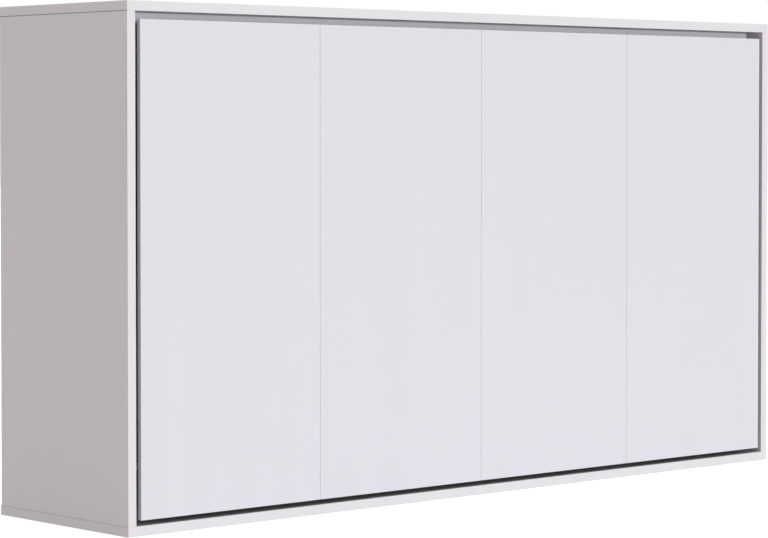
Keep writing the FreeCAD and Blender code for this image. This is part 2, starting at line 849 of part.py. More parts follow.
def leg_bolt_places():
    """Bolts that hold a leg mount to the end rail."""
    front = from_front(s.front_thickness + s.leg_mount_front_gap) + s.hinge_bolt_inset
    top = leg_z + s.leg_mount_rise - s.hinge_bolt_inset
    bottom = leg_z - s.leg_mount_fall + s.hinge_bolt_inset
    return [(front, top), (front, bottom)]


def make_end_rail(name, side):
    """A rail across the bed, between the long rails, with the hinge and leg bolted on."""
    made = new_body(f"end_rail_{name}")
    leg_span = (rail_bottom + s.rail_sheet, rail_top - s.rail_sheet)
    flange_span = (leg_span[0] + s.rail_slat_flange, leg_span[1] - s.rail_slat_flange)
    front_span = (leg_span[0] + s.rail_front_flange, leg_span[1] - s.rail_front_flange)
    add_block(made, across(side, end_in, end_out), rail_y, leg_span)
    add_block(made, across(side, end_in - s.rail_front_flange, end_in), front_flange_y, front_span)
    add_block(made, across(side, end_in - s.rail_slat_flange, end_in), slat_flange_y, flange_span)
    through = across(side, end_in - s.overrun, end_out + s.overrun)
    bore = s.pin_radius + s.pin_play + s.bush_wall + s.fitting_play
    drill(made, "x", (pivot_y, pivot_z), through, bore)
    for at in hinge_bolt_places() + leg_bolt_places():
        drill(made, "x", at, through, s.frame_bolt_radius + s.screw_play)


def make_cross_rail(number):
    """A steel tube behind each seam of the front."""
    x = share_of(panels_x, (number + 1) / FRONT_PANELS)
    made = new_body(f"cross_rail_{number + 1}")
    wide = (x - s.cross_rail_width / 2, x + s.cross_rail_width / 2)
    hollow = (wide[0] + s.cross_rail_wall, wide[1] - s.cross_rail_wall)
    y = (panel_back + s.rail_sheet, slat_flange_y[0])
    hollow_y = (y[0] + s.cross_rail_wall, y[1] - s.cross_rail_wall)
    z = (rail_bottom + s.rail_sheet, rail_top - s.rail_sheet)
    add_block(made, wide, y, z)
    cut_block(made, hollow, hollow_y, (z[0] - s.overrun, z[1] + s.overrun))


def make_hinge_plate(name, side):
    """The plate that carries the bush of the bed's pivot and the arm of the strut."""
    made = new_body(f"hinge_plate_{name}")
    front = from_front(s.front_thickness + s.hinge_plate_front_gap)
    top = pivot_z + s.hinge_plate_rise
    foot = arm_z - s.hinge_plate_margin
    tip = arm_y + s.hinge_plate_margin
    corners = [
        (front, foot),
        (tip, foot),
        (tip, arm_z + s.hinge_plate_margin),
        (rail_y[1], top),
        (front, top),
    ]
    plate_x = across(side, end_out, end_out + s.hinge_plate)
    add_plate(made, corners, plate_x)
    soften(made, s.hinge_plate_round, runs_along("x"))
    through = across(side, end_out - s.overrun, end_out + s.hinge_plate + s.overrun)
    bore = s.pin_radius + s.pin_play + s.bush_wall + s.fitting_play
    drill(made, "x", (pivot_y, pivot_z), through, bore)
    for at in hinge_bolt_places():
        drill(made, "x", at, through, s.frame_bolt_radius + s.screw_play)


def make_bush(name, side):
    """The flanged plastic bush that turns on the pivot pin."""
    made = new_body(f"pivot_bush_{name}")
    seat = (end_in, end_out + s.hinge_plate)
    flange = (seat[1], seat[1] + s.bush_flange)
    at = (pivot_y, pivot_z)
    add_round(made, "x", at, across(side, seat[0], flange[1]), s.pin_radius + s.pin_play + s.bush_wall)
    add_round(made, "x", at, across(side, *flange), s.bush_flange_radius)
    through = across(side, seat[0] - s.overrun, flange[1] + s.overrun)
    drill(made, "x", at, through, s.pin_radius + s.pin_play)


def make_leg_mount(name, side):
    """The bracket and stud of a leg; its rear flange meets the closing stop."""
    made = new_body(f"leg_mount_{name}")
    plate_x = (end_out, end_out + s.leg_mount_plate)
    z = (leg_z - s.leg_mount_fall, leg_z + s.leg_mount_rise)
    y = (from_front(s.front_thickness + s.leg_mount_front_gap), rail_y[1])
    add_block(made, across(side, *plate_x), y, z)
    flange_y = (rail_y[1] - s.leg_mount_plate, rail_y[1])
    add_block(made, across(side, plate_x[0], plate_x[1] + s.leg_mount_reach), flange_y, z)
    at = (leg_y, leg_z)
    spacer = (plate_x[1], leg_x[0] - s.leg_side_play)
    neck = (plate_x[1], leg_x[1] + s.leg_side_play)
    head = (neck[1], neck[1] + s.leg_pin_head)
    add_round(made, "x", at, across(side, *spacer), s.leg_spacer_radius)
    add_round(made, "x", at, across(side, *neck), s.leg_pin_radius)
    add_round(made, "x", at, across(side, *head), s.leg_pin_head_radius)
    through = across(side, end_out - s.overrun, plate_x[1] + s.overrun)
    for place in leg_bolt_places():
        drill(made, "x", place, through, s.frame_bolt_radius + s.screw_play)


def make_frame_bolts():
    """Bolts through the end rails: head outside, flat nut inside."""
    plates = (
        (hinge_bolt_places(), s.hinge_plate),
        (leg_bolt_places(), s.leg_mount_plate),
    )
    bolts = []
    for side in SIDES.values():
        nut_x = across(side, end_in - s.frame_nut, end_in)
        for places, thickness in plates:
            outer = end_out + thickness
            head_x = across(side, outer, outer + s.frame_bolt_head)
            for at in places:
                head = loose_round("x", at, head_x, s.frame_bolt_head_radius)
                shank = loose_round("x", at, across(side, end_in, outer), s.frame_bolt_radius)
                nut = loose_round("x", at, nut_x, s.frame_bolt_head_radius)
                bolts.append(fuse([head, shank, nut]))
    group("frame_bolts", bolts)


# Slats.
def slat_places():
    """The middle of each slat, spread evenly under the mattress."""
    span = (-s.mattress_length / 2, s.mattress_length / 2)
    return [share_of(span, (number + 1 / 2) / SLATS) for number in range(SLATS)]


def make_slats():
    inner_z = (rail_bottom + s.rail_sheet, rail_top - s.rail_sheet)
    slat_y = (from_front(slat_depth), from_front(slat_depth + s.slat_thickness))
    holder_y = (from_front(holder_depth), slat_y[1] + s.holder_lid)
    slat_z = (inner_z[0] + s.slat_end_gap, inner_z[1] - s.slat_end_gap)
    slats, holders = [], []
    for middle in slat_places():
        wide = (middle - s.slat_width / 2, middle + s.slat_width / 2)
        slat = doc.addObject("PartDesign::Body", "Slat")
        add_block(slat, wide, slat_y, slat_z)
        soften(slat, s.slat_edge_round, runs_along("z"))
        slats.append(slat)
        pocket_x = (wide[0] - s.holder_play, wide[1] + s.holder_play)
        pocket_y = (slat_y[0] - s.holder_play, slat_y[1] + s.holder_play)
        cap_x = (pocket_x[0] - s.holder_wall, pocket_x[1] + s.holder_wall)
        for end, up in ((inner_z[0], 1), (inner_z[1], -1)):
            stop = end + up * (s.slat_end_gap - s.holder_play)
            far = end + up * s.holder_length
            cap_z = (end, far) if up > 0 else (far, end)
            pocket_z = (stop, far + s.overrun) if up > 0 else (far - s.overrun, stop)
            cap = loose_block(cap_x, holder_y, cap_z)
            holders.append(cut(cap, loose_block(pocket_x, pocket_y, pocket_z)))
    group("bed_slats", slats)
    group("slat_holders", holders)


# Mattress and the straps that hold it.
def make_mattress():
    made = new_body("mattress")
    x = (-s.mattress_length / 2, s.mattress_length / 2)
    add_block(made, x, (from_front(mattress_depth), from_front(mattress_rear)), mattress_z)
    soften(made, s.mattress_edge_round)


def make_straps():
    inner = (rail_bottom, rail_top)
    outer = (inner[0] - s.strap_thickness, inner[1] + s.strap_thickness)
    over = from_front(mattress_rear) + s.strap_play
    run_y = (rail_y[1] - s.strap_run, over + s.strap_thickness)
    anchors, buckles = [], []
    for name, side in SIDES.items():
        middle = side * s.strap_offset
        x = (middle - s.strap_width / 2, middle + s.strap_width / 2)
        made = new_body(f"mattress_strap_{name}")
        add_block(made, x, (over, run_y[1]), outer)
        add_block(made, x, run_y, (outer[0], inner[0]))
        add_block(made, x, run_y, (inner[1], outer[1]))
        wide = (x[0] - s.anchor_margin, x[1] + s.anchor_margin)
        anchor_run = (run_y[0], run_y[0] + s.anchor_depth)
        anchors.append(loose_block(wide, anchor_run, (outer[0] - s.anchor_thickness, outer[0])))
        anchors.append(loose_block(wide, anchor_run, (outer[1], outer[1] + s.anchor_thickness)))
        buckle_z = share_of(mattress_z, BUCKLE_SHARE)
        buckle = (x[0] - s.buckle_margin, x[1] + s.buckle_margin)
        tall = (buckle_z - s.buckle_height / 2, buckle_z + s.buckle_height / 2)
        buckles.append(loose_block(buckle, (run_y[1], run_y[1] + s.buckle_thickness), tall))
    group("strap_anchors", anchors)
    group("strap_buckles", buckles)


# Gas struts.
def strut_length():
    return math.hypot(float(arm_y - anchor_y), float(arm_z - anchor_z))


def lay_along_strut(made, side):
    """Turns a body drawn up its own Z onto the line from the strut's anchor to its arm."""
    angle = math.degrees(math.atan2(-float(arm_y - anchor_y), float(arm_z - anchor_z)))
    place = FreeCAD.Vector(side * float(strut_x), float(anchor_y), float(anchor_z))
    made.Placement = FreeCAD.Placement(place, FreeCAD.Rotation(FreeCAD.Vector(1, 0, 0), angle))


def make_strut(name, side):
    eye = (-s.strut_eye_width / 2, s.strut_eye_width / 2)
    cross = (-s.strut_eye_width / 2 - s.overrun, s.strut_eye_width / 2 + s.overrun)
    tube = (s.strut_tube_start, s.strut_tube_start + s.strut_tube_length)
    bore = (tube[0] + s.strut_tube_cap, tube[1] - s.strut_tube_cap)
    inside = s.strut_tube_radius - s.strut_tube_wall
    middle = (ZERO, ZERO)

    cylinder = new_body(f"strut_cylinder_{name}")
    add_round(cylinder, "z", middle, tube, s.strut_tube_radius)
    soften(cylinder, s.strut_tube_wall)
    add_round(cylinder, "z", middle, (ZERO, tube[0] + s.strut_tube_wall), s.strut_neck_radius)
    add_round(cylinder, "x", middle, eye, s.strut_eye_radius)
    drill(cylinder, "x", middle, cross, s.strut_stud_radius + s.strut_stud_play)
    drill(cylinder, "z", middle, bore, inside)
    mouth = (bore[1] - s.overrun, tube[1] + s.overrun)
    drill(cylinder, "z", middle, mouth, s.strut_rod_radius + s.strut_rod_play)
    lay_along_strut(cylinder, side)

    length = Size(strut_length(), repr(strut_length()))
    inner_end = tube[1] - s.strut_rod_inside
    rod = new_body(f"strut_rod_{name}")
    add_round(rod, "z", middle, (inner_end, length), s.strut_rod_radius)
    piston = (inner_end, inner_end + s.strut_piston_length)
    add_round(rod, "z", middle, piston, inside - s.strut_piston_play)
    add_round(rod, "z", middle, (length - s.strut_tube_start, length), s.strut_neck_radius)
    at_end = (ZERO, length)
    add_round(rod, "x", at_end, eye, s.strut_eye_radius)
    # The stud rides on the rod and ends just short of the hinge plate.
    plate_face = strut_x - (end_out + s.hinge_plate) - s.strut_open_gap
    toward = across(-side, eye[1], plate_face)
    add_round(rod, "x", at_end, toward, s.strut_stud_radius)
    flange = across(-side, plate_face - s.strut_stud_head, plate_face)
    add_round(rod, "x", at_end, flange, s.strut_stud_head_radius)
    lay_along_strut(rod, side)


# Legs.
def make_leg(name, side):
    """A flat steel leg that hangs beside the front, with a plastic foot."""
    made = new_body(f"leg_{name}")
    x = across(side, *leg_x)
    y = (leg_y - s.leg_width / 2, leg_y + s.leg_width / 2)
    foot_bottom = leg_z - leg_length
    add_block(made, x, y, (foot_bottom + s.foot_pad, leg_z))
    add_round(made, "x", (leg_y, leg_z), x, s.leg_width / 2)
    through = across(side, leg_x[0] - s.overrun, leg_x[1] + s.overrun)
    drill(made, "x", (leg_y, leg_z), through, s.leg_pin_radius + s.leg_pin_play)

    foot = new_body(f"leg_foot_{name}")
    foot_x = across(side, leg_x[0] - s.foot_wall, leg_x[1] + s.foot_wall)
    foot_y = (y[0] - s.foot_side_wall, y[1] + s.foot_side_wall)
    add_block(foot, foot_x, foot_y, (foot_bottom, foot_bottom + s.foot_height))
    soften(foot, s.foot_round)
    top = foot_bottom + s.foot_height + s.overrun
    cut_block(foot, x, y, (foot_bottom + s.foot_pad, top))


make_cabinet()
make_back()
make_board_fittings()
BUFFERS = []
for side_name, side_sign in SIDES.items():
    make_pivot(side_name, side_sign)
    make_strut_bracket(side_name, side_sign)
    BUFFERS.append(make_closing_stop(side_name, side_sign))
group("stop_buffers", BUFFERS)
make_plate_screws()
make_front_panels()
make_long_rail("long_rail_lower", rail_bottom, 1)
make_long_rail("long_rail_upper", rail_top, -1)
for panel_number in range(FRONT_PANELS - 1):
    make_cross_rail(panel_number)
for side_name, side_sign in SIDES.items():
    make_end_rail(side_name, side_sign)
    make_hinge_plate(side_name, side_sign)
    make_bush(side_name, side_sign)
    make_leg_mount(side_name, side_sign)
    make_leg(side_name, side_sign)
    make_strut(side_name, side_sign)
make_frame_bolts()
make_slats()
make_mattress()
make_straps()
doc.recompute()

# Every object must have built, and every piece must be a sound solid.
for item in doc.Objects:
    if "Invalid" in item.State or "Error" in item.State:
        raise RuntimeError(f"{item.Name} did not build: {item.State}")
for item in doc.Objects:
    cuts = item.TypeId.startswith("PartDesign::Subtractive")
    if cuts and item.Shape.Volume >= item.BaseFeature.Shape.Volume:
        raise RuntimeError(f"{item.Name} cuts nothing")
used = {linked.Name for item in doc.Objects for linked in item.OutList if item.TypeId.startswith("Part::")}
pieces = [
    item
    for item in doc.Objects
    if item.TypeId in ("PartDesign::Body", "Part::Compound") and item.Name not in used
]
for piece in pieces:
    if piece.Shape.isNull() or not piece.Shape.isValid() or not piece.Shape.Solids:
        raise RuntimeError(f"{piece.Label} is not a sound solid")

os.makedirs("parts", exist_ok=True)
for piece in pieces:
    piece.Shape.exportStep(f"parts/{piece.Label}.step")
print(f"{len(pieces)} pieces, {sum(len(piece.Shape.Solids) for piece in pieces)} solids")
for what, numbers in {
    "width, depth, height": (half_width * 2, cabinet_depth, cabinet_height),
    "bed pivot y, z": (pivot_y, pivot_z),
    "leg pivot y, z": (leg_y, leg_z),
    "strut anchor y, z": (anchor_y, anchor_z),
    "strut arm y, z": (arm_y, arm_z),
}.items():
    print(what, [round(float(number), 3) for number in numbers])
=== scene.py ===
# %% [markdown]
# # A wall bed, folded into its cabinet
# The real object is a wide, shallow white cabinet. Its front is the underside of a bed that hinges down.
# The CAD model gives every piece its place and its body, so this scene only adds what the CAD leaves out:
# finishes, and the soft or finely shaped pieces such as the mattress, straps, screws and struts.

# %% Load the frame
import json
import math

import bpy
from mathutils import Matrix, Vector


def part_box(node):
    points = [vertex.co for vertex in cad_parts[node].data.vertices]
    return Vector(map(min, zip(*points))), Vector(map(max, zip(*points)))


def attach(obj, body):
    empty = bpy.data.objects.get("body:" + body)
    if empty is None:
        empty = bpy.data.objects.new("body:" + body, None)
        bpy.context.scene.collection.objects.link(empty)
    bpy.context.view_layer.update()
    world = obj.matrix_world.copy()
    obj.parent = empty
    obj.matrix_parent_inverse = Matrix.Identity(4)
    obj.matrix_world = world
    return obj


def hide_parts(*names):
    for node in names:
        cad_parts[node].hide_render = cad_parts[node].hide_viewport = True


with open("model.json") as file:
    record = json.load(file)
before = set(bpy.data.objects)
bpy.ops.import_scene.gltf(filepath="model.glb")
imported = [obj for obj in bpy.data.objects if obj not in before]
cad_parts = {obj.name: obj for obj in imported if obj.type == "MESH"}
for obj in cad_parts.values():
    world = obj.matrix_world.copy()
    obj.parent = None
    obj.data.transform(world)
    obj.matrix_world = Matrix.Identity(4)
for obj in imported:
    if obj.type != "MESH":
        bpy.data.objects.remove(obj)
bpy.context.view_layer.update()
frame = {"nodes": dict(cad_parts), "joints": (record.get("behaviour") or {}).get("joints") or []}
SIDES = {"left": -1, "right": 1}
scene = bpy.context.scene

# %% [markdown]
# ## Camera
# The photograph shows the cabinet from the front left, from a little below its top, with upright edges
# that stay upright. That is a long lens held level, with its frame shifted down. A full shift would push
# the open bed out of other views, so the camera takes a little of it as tilt instead. Heading, tilt,
# place and lens come from a fit of the cabinet's edges in the photograph.

# %% Camera
CAMERA_PLACE = (-4.6846, -5.0733, 0.8909)
CAMERA_HEADING = -42.119
CAMERA_TILT = 1.658
CAMERA_LENS = 130.36
CAMERA_SHIFT = -0.08
SENSOR_WIDTH = 36

bpy.ops.object.camera_add(
    location=CAMERA_PLACE,
    rotation=(math.radians(90 - CAMERA_TILT), 0, math.radians(CAMERA_HEADING)),
)
camera = bpy.context.object
camera.name = "photo_camera"
camera.data.lens = CAMERA_LENS
camera.data.sensor_width = SENSOR_WIDTH
camera.data.shift_y = CAMERA_SHIFT
scene.camera = camera
scene.view_settings.view_transform = "Standard"
print("camera looks", CAMERA_HEADING, "degrees, lens", CAMERA_LENS)

# %% [markdown]
# ## Starting a finish
# A finish could be set up by hand in the Shader Editor, node by node. In a script the same few steps come
# back for each finish, so they are written once: start a Principled material, add a node, link two sockets,
# and work two values together.


# %% Start a finish
def shader_of(finish):
    return finish.node_tree.nodes["Principled BSDF"]


def new_finish(name, color, roughness=0.5, metallic=0.0):
    finish = bpy.data.materials.new(name)
    finish.use_nodes = True
    shader_of(finish).inputs["Base Color"].default_value = (*color, 1)
    shader_of(finish).inputs["Roughness"].default_value = roughness
    shader_of(finish).inputs["Metallic"].default_value = metallic
    return finish


def add_node(finish, kind, inputs=(), **settings):
    node = finish.node_tree.nodes.new(kind)
    for name, value in settings.items():
        setattr(node, name, value)
    for name, value in dict(inputs).items():
        node.inputs[name].default_value = value
    return node


def wire(finish, start, end):
    finish.node_tree.links.new(start, end)


def mixed(finish, kind, first, second=0):
    """Two patterns worked together by a maths step, or one pattern worked on alone."""
    node = add_node(finish, "ShaderNodeMath", operation=kind)
    for socket, value in zip(node.inputs, (first, second)):
        if isinstance(value, (int, float)):
            socket.default_value = value
        else:
            wire(finish, value, socket)
    return node.outputs["Value"]


print("finishes start as one Principled shader")

# %% [markdown]
# ## Floor, world and lights
# The photograph has a plain white ground, and the cabinet's side stays equally light down to the floor. A
# white floor is the simplest, but the cabinet's shadow on it would darken the side's lower end. So the
# floor is a grey matt plane with a glow of its own. The glow is strong for the camera, which sees white
# with a soft shadow, and weaker as light for the cabinet.

# %% Floor
FLOOR_SIZE = 60
FLOOR_DROP = 0.0005
FLOOR_WHITE = (0.5, 0.5, 0.5)
FLOOR_COLOR = (1.0, 0.97, 0.955)
FLOOR_GLOW = 0.78
FLOOR_FILL = 0.25


def seen_directly(tree):
    """One where the camera, a glossy ray or a ray through glass looks, zero for other light."""
    path = tree.nodes.new("ShaderNodeLightPath")
    seen = path.outputs["Is Camera Ray"]
    for ray in ("Is Glossy Ray", "Is Transmission Ray"):
        both = tree.nodes.new("ShaderNodeMath")
        both.operation = "MAXIMUM"
        tree.links.new(seen, both.inputs[0])
        tree.links.new(path.outputs[ray], both.inputs[1])
        seen = both.outputs["Value"]
    return seen


bpy.ops.object.select_all(action="DESELECT")
bpy.ops.mesh.primitive_plane_add(size=FLOOR_SIZE, location=(0, 0, -FLOOR_DROP))
floor = bpy.context.object
floor.name = "studio_floor"
bpy.ops.object.transform_apply()
floor_finish = new_finish("floor_white", FLOOR_WHITE, roughness=0.9)
shader_of(floor_finish).inputs["Emission Color"].default_value = (*FLOOR_COLOR, 1)
extra = mixed(floor_finish, "MULTIPLY", seen_directly(floor_finish.node_tree), FLOOR_GLOW - FLOOR_FILL)
glow = mixed(floor_finish, "ADD", extra, FLOOR_FILL)
wire(floor_finish, glow, shader_of(floor_finish).inputs["Emission Strength"])
floor.data.materials.append(floor_finish)
print("floor", FLOOR_SIZE, "m wide")

# %% [markdown]
# The world is white where the camera, a mirror or glass sees it, and a soft grey light everywhere else.
# One white world would be simpler, but it would light the object far too much. Two Background shaders and
# a Mix Shader keep the two apart, with the same test as the floor.

# %% World
WORLD_LIGHT = (0.432, 0.394, 0.377)

world = bpy.data.worlds.new("studio_world")
world.use_nodes = True
scene.world = world
world_tree = world.node_tree
soft = world_tree.nodes["Background"]
white = world_tree.nodes.new("ShaderNodeBackground")
for background, color in ((soft, WORLD_LIGHT), (white, (1, 1, 1))):
    background.inputs["Color"].default_value = (*color, 1)
    background.inputs["Strength"].default_value = 1.0
choose = world_tree.nodes.new("ShaderNodeMixShader")
world_tree.links.new(seen_directly(world_tree), choose.inputs["Fac"])
world_tree.links.new(soft.outputs["Background"], choose.inputs[1])
world_tree.links.new(white.outputs["Background"], choose.inputs[2])
world_tree.links.new(choose.outputs["Shader"], world_tree.nodes["World Output"].inputs["Surface"])
print("world light", WORLD_LIGHT)

# %% [markdown]
# The light in the photograph is even from edge to edge. An area lamp would fade along two metres of
# cabinet, so the lamps are suns, which have the same strength everywhere, with wide discs for soft
# shadows. The front sun is almost level and straight before the front: it reaches the rail behind the top
# gap, and leaves the top of the bottom board dark and the left side in the shade. The sky sun lights only
# what looks up, such as the top board and the open bed.

# %% Lamps
SUN_DISTANCE = 4
# Each row: the way to the sun, its strength, the width of its disc in degrees, its colour.
SUNS = {
    "front_sun": ((0.12, -0.97, 0.045), 1.29, 5, (0.882, 0.955, 1.0)),
    "sky_sun": ((0.10, -0.12, 1.0), 1.2, 50, (1.0, 0.985, 0.965)),
}

for name, (way, strength, width, color) in SUNS.items():
    bpy.ops.object.light_add(type="SUN", location=Vector(way) * SUN_DISTANCE)
    sun = bpy.context.object
    sun.name = name
    sun.rotation_euler = Vector(way).to_track_quat("Z", "Y").to_euler()
    sun.data.energy = strength
    sun.data.angle = math.radians(width)
    sun.data.color = color
    print(name, "from", way)

# %% [markdown]
# ## Patterns
# No real surface has one even colour and one even gloss. Each finish therefore starts from noise in the
# piece's own coordinates, in metres, so that grain has its real size and stays in place when the bed turns.
# The noise then drives the colour, the gloss and the relief, each by its own helper.


# %% Patterns
def place_on_piece(finish, stretch=(1, 1, 1)):
    """The piece's own coordinates, stretched so that a pattern runs long one way."""
    where = add_node(finish, "ShaderNodeTexCoord")
    mapping = add_node(finish, "ShaderNodeMapping", {"Scale": stretch})
    wire(finish, where.outputs["Object"], mapping.inputs["Vector"])
    return mapping.outputs["Vector"]


def noise(finish, scale, stretch=(1, 1, 1), detail=3.0, rough=0.5):
    inputs = {"Scale": scale, "Detail": detail, "Roughness": rough}
    node = add_node(finish, "ShaderNodeTexNoise", inputs)
    wire(finish, place_on_piece(finish, stretch), node.inputs["Vector"])
    return node.outputs["Fac"]


def tint(finish, pattern, dark, light, low=0.3, high=0.7):
    """Colour that drifts between two shades with the pattern."""
    ramp = add_node(finish, "ShaderNodeValToRGB")
    ramp.color_ramp.elements[0].position = low
    ramp.color_ramp.elements[0].color = (*dark, 1)
    ramp.color_ramp.elements[1].position = high
    ramp.color_ramp.elements[1].color = (*light, 1)
    wire(finish, pattern, ramp.inputs["Fac"])
    wire(finish, ramp.outputs["Color"], shader_of(finish).inputs["Base Color"])


def shine(finish, pattern, low, high):
    """Roughness that drifts between two values with the pattern."""
    spread = add_node(finish, "ShaderNodeMapRange", {"To Min": low, "To Max": high})
    wire(finish, pattern, spread.inputs["Value"])
    wire(finish, spread.outputs["Result"], shader_of(finish).inputs["Roughness"])


def relief(finish, pattern, depth, strength=1.0):
    """Bumps as high as depth, in metres."""
    bump = add_node(finish, "ShaderNodeBump", {"Strength": strength, "Distance": depth})
    wire(finish, pattern, bump.inputs["Height"])
    shader = shader_of(finish)
    if shader.inputs["Normal"].is_linked:
        wire(finish, shader.inputs["Normal"].links[0].from_socket, bump.inputs["Normal"])
    wire(finish, bump.outputs["Normal"], shader.inputs["Normal"])


def dress(finish, *names):
    """Gives a finish to CAD nodes, through their material slots."""
    for name in names:
        node = frame["nodes"][name]
        if not node.material_slots:
            node.data.materials.append(finish)
        for slot in node.material_slots:
            slot.material = finish
    print(finish.name, "on", len(names), "nodes")


print("pattern helpers are ready")

# %% [markdown]
# ## Coated boards
# The cabinet is chipboard with a matt white melamine coat. Such a coat is almost plain: it has a fine
# pearl grain that only shows in a raking light, and a little unevenness in its shine. An image of
# melamine would show its seams on boards this large. Noise has none, and here it drives the relief, the
# roughness and a drift of about one percent in the colour.

# %% White coat
BOARD_WHITE = (0.785, 0.772, 0.795)
BOARD_SHADE = (0.765, 0.750, 0.772)
# The rails' coat is the board coat made about a tenth darker: painted shade for the rail seen behind the top
# gap.
RAIL_SHADED_LIGHT = (0.70, 0.69, 0.71)
RAIL_SHADED_DARK = (0.68, 0.67, 0.69)
MELAMINE_GLOSS = 0.35


def white_coat(name, light, dark):
    finish = new_finish(name, light)
    shader_of(finish).inputs["Specular IOR Level"].default_value = MELAMINE_GLOSS
    tint(finish, noise(finish, scale=2.3, detail=2.0), dark, light, low=0.1, high=0.9)
    relief(finish, noise(finish, scale=700, detail=4.0, rough=0.6), depth=0.00003)
    shine(finish, noise(finish, scale=9.0, detail=2.0), low=0.40, high=0.50)
    return finish


board_finish = white_coat("board_coat", BOARD_WHITE, BOARD_SHADE)
dress(board_finish, "side_panel_left", "side_panel_right", "top_panel", "bottom_panel")
# Painted shade: the rails get the darker copy of the board coat.
dress(white_coat("rail_coat_painted_shade", RAIL_SHADED_LIGHT, RAIL_SHADED_DARK), "top_stretcher", "upper_back_rail", "lower_back_rail")

# %% [markdown]
# A hairline could be cut into the mesh, but it is finer than any face there. So lines and seams are laid
# over a finish where a coordinate has a certain value. That needs the coordinate along one axis, the way
# that the surface faces, and a mask for the second colour.


# %% Lines on a finish
def coordinate(finish, axis):
    where = add_node(finish, "ShaderNodeTexCoord")
    split = add_node(finish, "ShaderNodeSeparateXYZ")
    wire(finish, where.outputs["Object"], split.inputs["Vector"])
    return split.outputs[axis]


def facing(finish, axis):
    """How far the surface faces along one of the piece's own axes, from 0 to 1 either way."""
    where = add_node(finish, "ShaderNodeTexCoord")
    split = add_node(finish, "ShaderNodeSeparateXYZ")
    wire(finish, where.outputs["Normal"], split.inputs["Vector"])
    return mixed(finish, "ABSOLUTE", split.outputs[axis])


def overlay(finish, mask, color):
    """Lays a plain colour over the finish where the mask is one."""
    shader = shader_of(finish)
    mix = add_node(finish, "ShaderNodeMix", data_type="RGBA")
    wire(finish, mask, mix.inputs["Factor"])
    wire(finish, shader.inputs["Base Color"].links[0].from_socket, mix.inputs["A"])
    mix.inputs["B"].default_value = (*color, 1)
    wire(finish, mix.outputs["Result"], shader.inputs["Base Color"])


def line_at(finish, axis, place, width):
    """One where the piece's own coordinate is within half the width of a place."""
    line = mixed(finish, "COMPARE", coordinate(finish, axis), place)
    line.node.inputs[2].default_value = width / 2
    return line


print("line helpers are ready")

# %% [markdown]
# Two kinds of hairline show on the boards. One is painted shadow in the joints where the uprights meet the
# top and bottom boards, laid on the cabinet's sides. The painted shadow at the lower joint is narrower than
# at the upper one. The other is the joint of the edge strip, a millimetre behind the front edge, which is
# only a shade darker than the coat.

# %% Hairlines on the boards
UPPER_JOINT_SHADOW_WIDTH = 0.0018
LOWER_JOINT_SHADOW_WIDTH = 0.0009
JOINT_SHADOW_COLOR = (0.2, 0.19, 0.19)
STRIP_THICKNESS = 0.001
STRIP_JOINT_WIDTH = 0.0002
STRIP_JOINT_COLOR = (0.55, 0.54, 0.55)

side_low, side_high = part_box("side_panel_left")
# Painted shadow in the upper and lower joints, on the faces that look along X.
joint_shadows = mixed(
    board_finish,
    "MAXIMUM",
    line_at(board_finish, "Z", side_low.z, LOWER_JOINT_SHADOW_WIDTH),
    line_at(board_finish, "Z", side_high.z, UPPER_JOINT_SHADOW_WIDTH),
)
overlay(board_finish, mixed(board_finish, "MULTIPLY", joint_shadows, facing(board_finish, "X")), JOINT_SHADOW_COLOR)
strip_joint = line_at(board_finish, "Y", side_low.y + STRIP_THICKNESS, STRIP_JOINT_WIDTH)
overlay(board_finish, strip_joint, STRIP_JOINT_COLOR)
print("joints at", round(side_low.z, 3), "and", round(side_high.z, 3))

# %% [markdown]
# ## Front panels
# The four front panels have the same coat with a fine upright grain pressed into it, and they are a shade
# cooler than the cabinet. Pores of a tenth of a millimetre can't be modelled over a whole front, so noise
# stretched along Z gives them as relief.

# %% White front panels
FRONT_WHITE = (0.747, 0.741, 0.796)
FRONT_SHADE = (0.737, 0.730, 0.784)
FRONT_PANELS = 4

front_finish = new_finish("front_coat", FRONT_WHITE)
fine_grain = noise(front_finish, scale=260, stretch=(1, 1, 0.02), detail=4.0, rough=0.6)
wide_grain = noise(front_finish, scale=14, stretch=(1, 1, 0.08), detail=3.0)
tint(front_finish, wide_grain, FRONT_SHADE, FRONT_WHITE, low=0.25, high=0.75)
shine(front_finish, wide_grain, low=0.41, high=0.49)
relief(front_finish, fine_grain, depth=0.00005)
relief(front_finish, noise(front_finish, scale=900, detail=3.0), depth=0.00002)
dress(front_finish, *(f"front_panel_{number + 1}" for number in range(FRONT_PANELS)))

# %% [markdown]
# ## Back sheets and joining strips
# The back is thin hardboard with a white coat on both sides. Hardboard is pressed fibre, so its surface
# is softly pebbled. Coarse noise in the colour and fine noise in the relief look like fibre under paint.
# The strips between the sheets are plain white plastic, with only a little unevenness in their shine.

# %% Back sheets and strips
SHEET_WHITE = (0.745, 0.735, 0.72)
SHEET_SHADE = (0.725, 0.713, 0.695)
BACK_SHEETS = 4
STRIP_WHITE = (0.78, 0.78, 0.77)

sheet_finish = new_finish("hardboard_coat", SHEET_WHITE)
fibres = noise(sheet_finish, scale=60, detail=5.0, rough=0.65)
tint(sheet_finish, fibres, SHEET_SHADE, SHEET_WHITE, low=0.25, high=0.6)
shine(sheet_finish, noise(sheet_finish, scale=30), low=0.5, high=0.68)
relief(sheet_finish, noise(sheet_finish, scale=420, detail=5.0, rough=0.7), depth=0.00012)
dress(sheet_finish, *(f"back_sheet_{number + 1}" for number in range(BACK_SHEETS)))

strip_finish = new_finish("strip_plastic", STRIP_WHITE)
shine(strip_finish, noise(strip_finish, scale=80), low=0.3, high=0.42)
relief(strip_finish, noise(strip_finish, scale=1200), depth=0.00001)
dress(strip_finish, "back_joining_strips")

# %% [markdown]
# ## Powder-coated steel
# The bed's frame and its brackets are powder coated: a dark, half matt coat with a fine orange peel, where
# the powder has melted together. Dark plastic looks much the same from afar, so the orange peel matters.
# Noise in the relief gives it, and the colour and the shine drift a little over each rail.

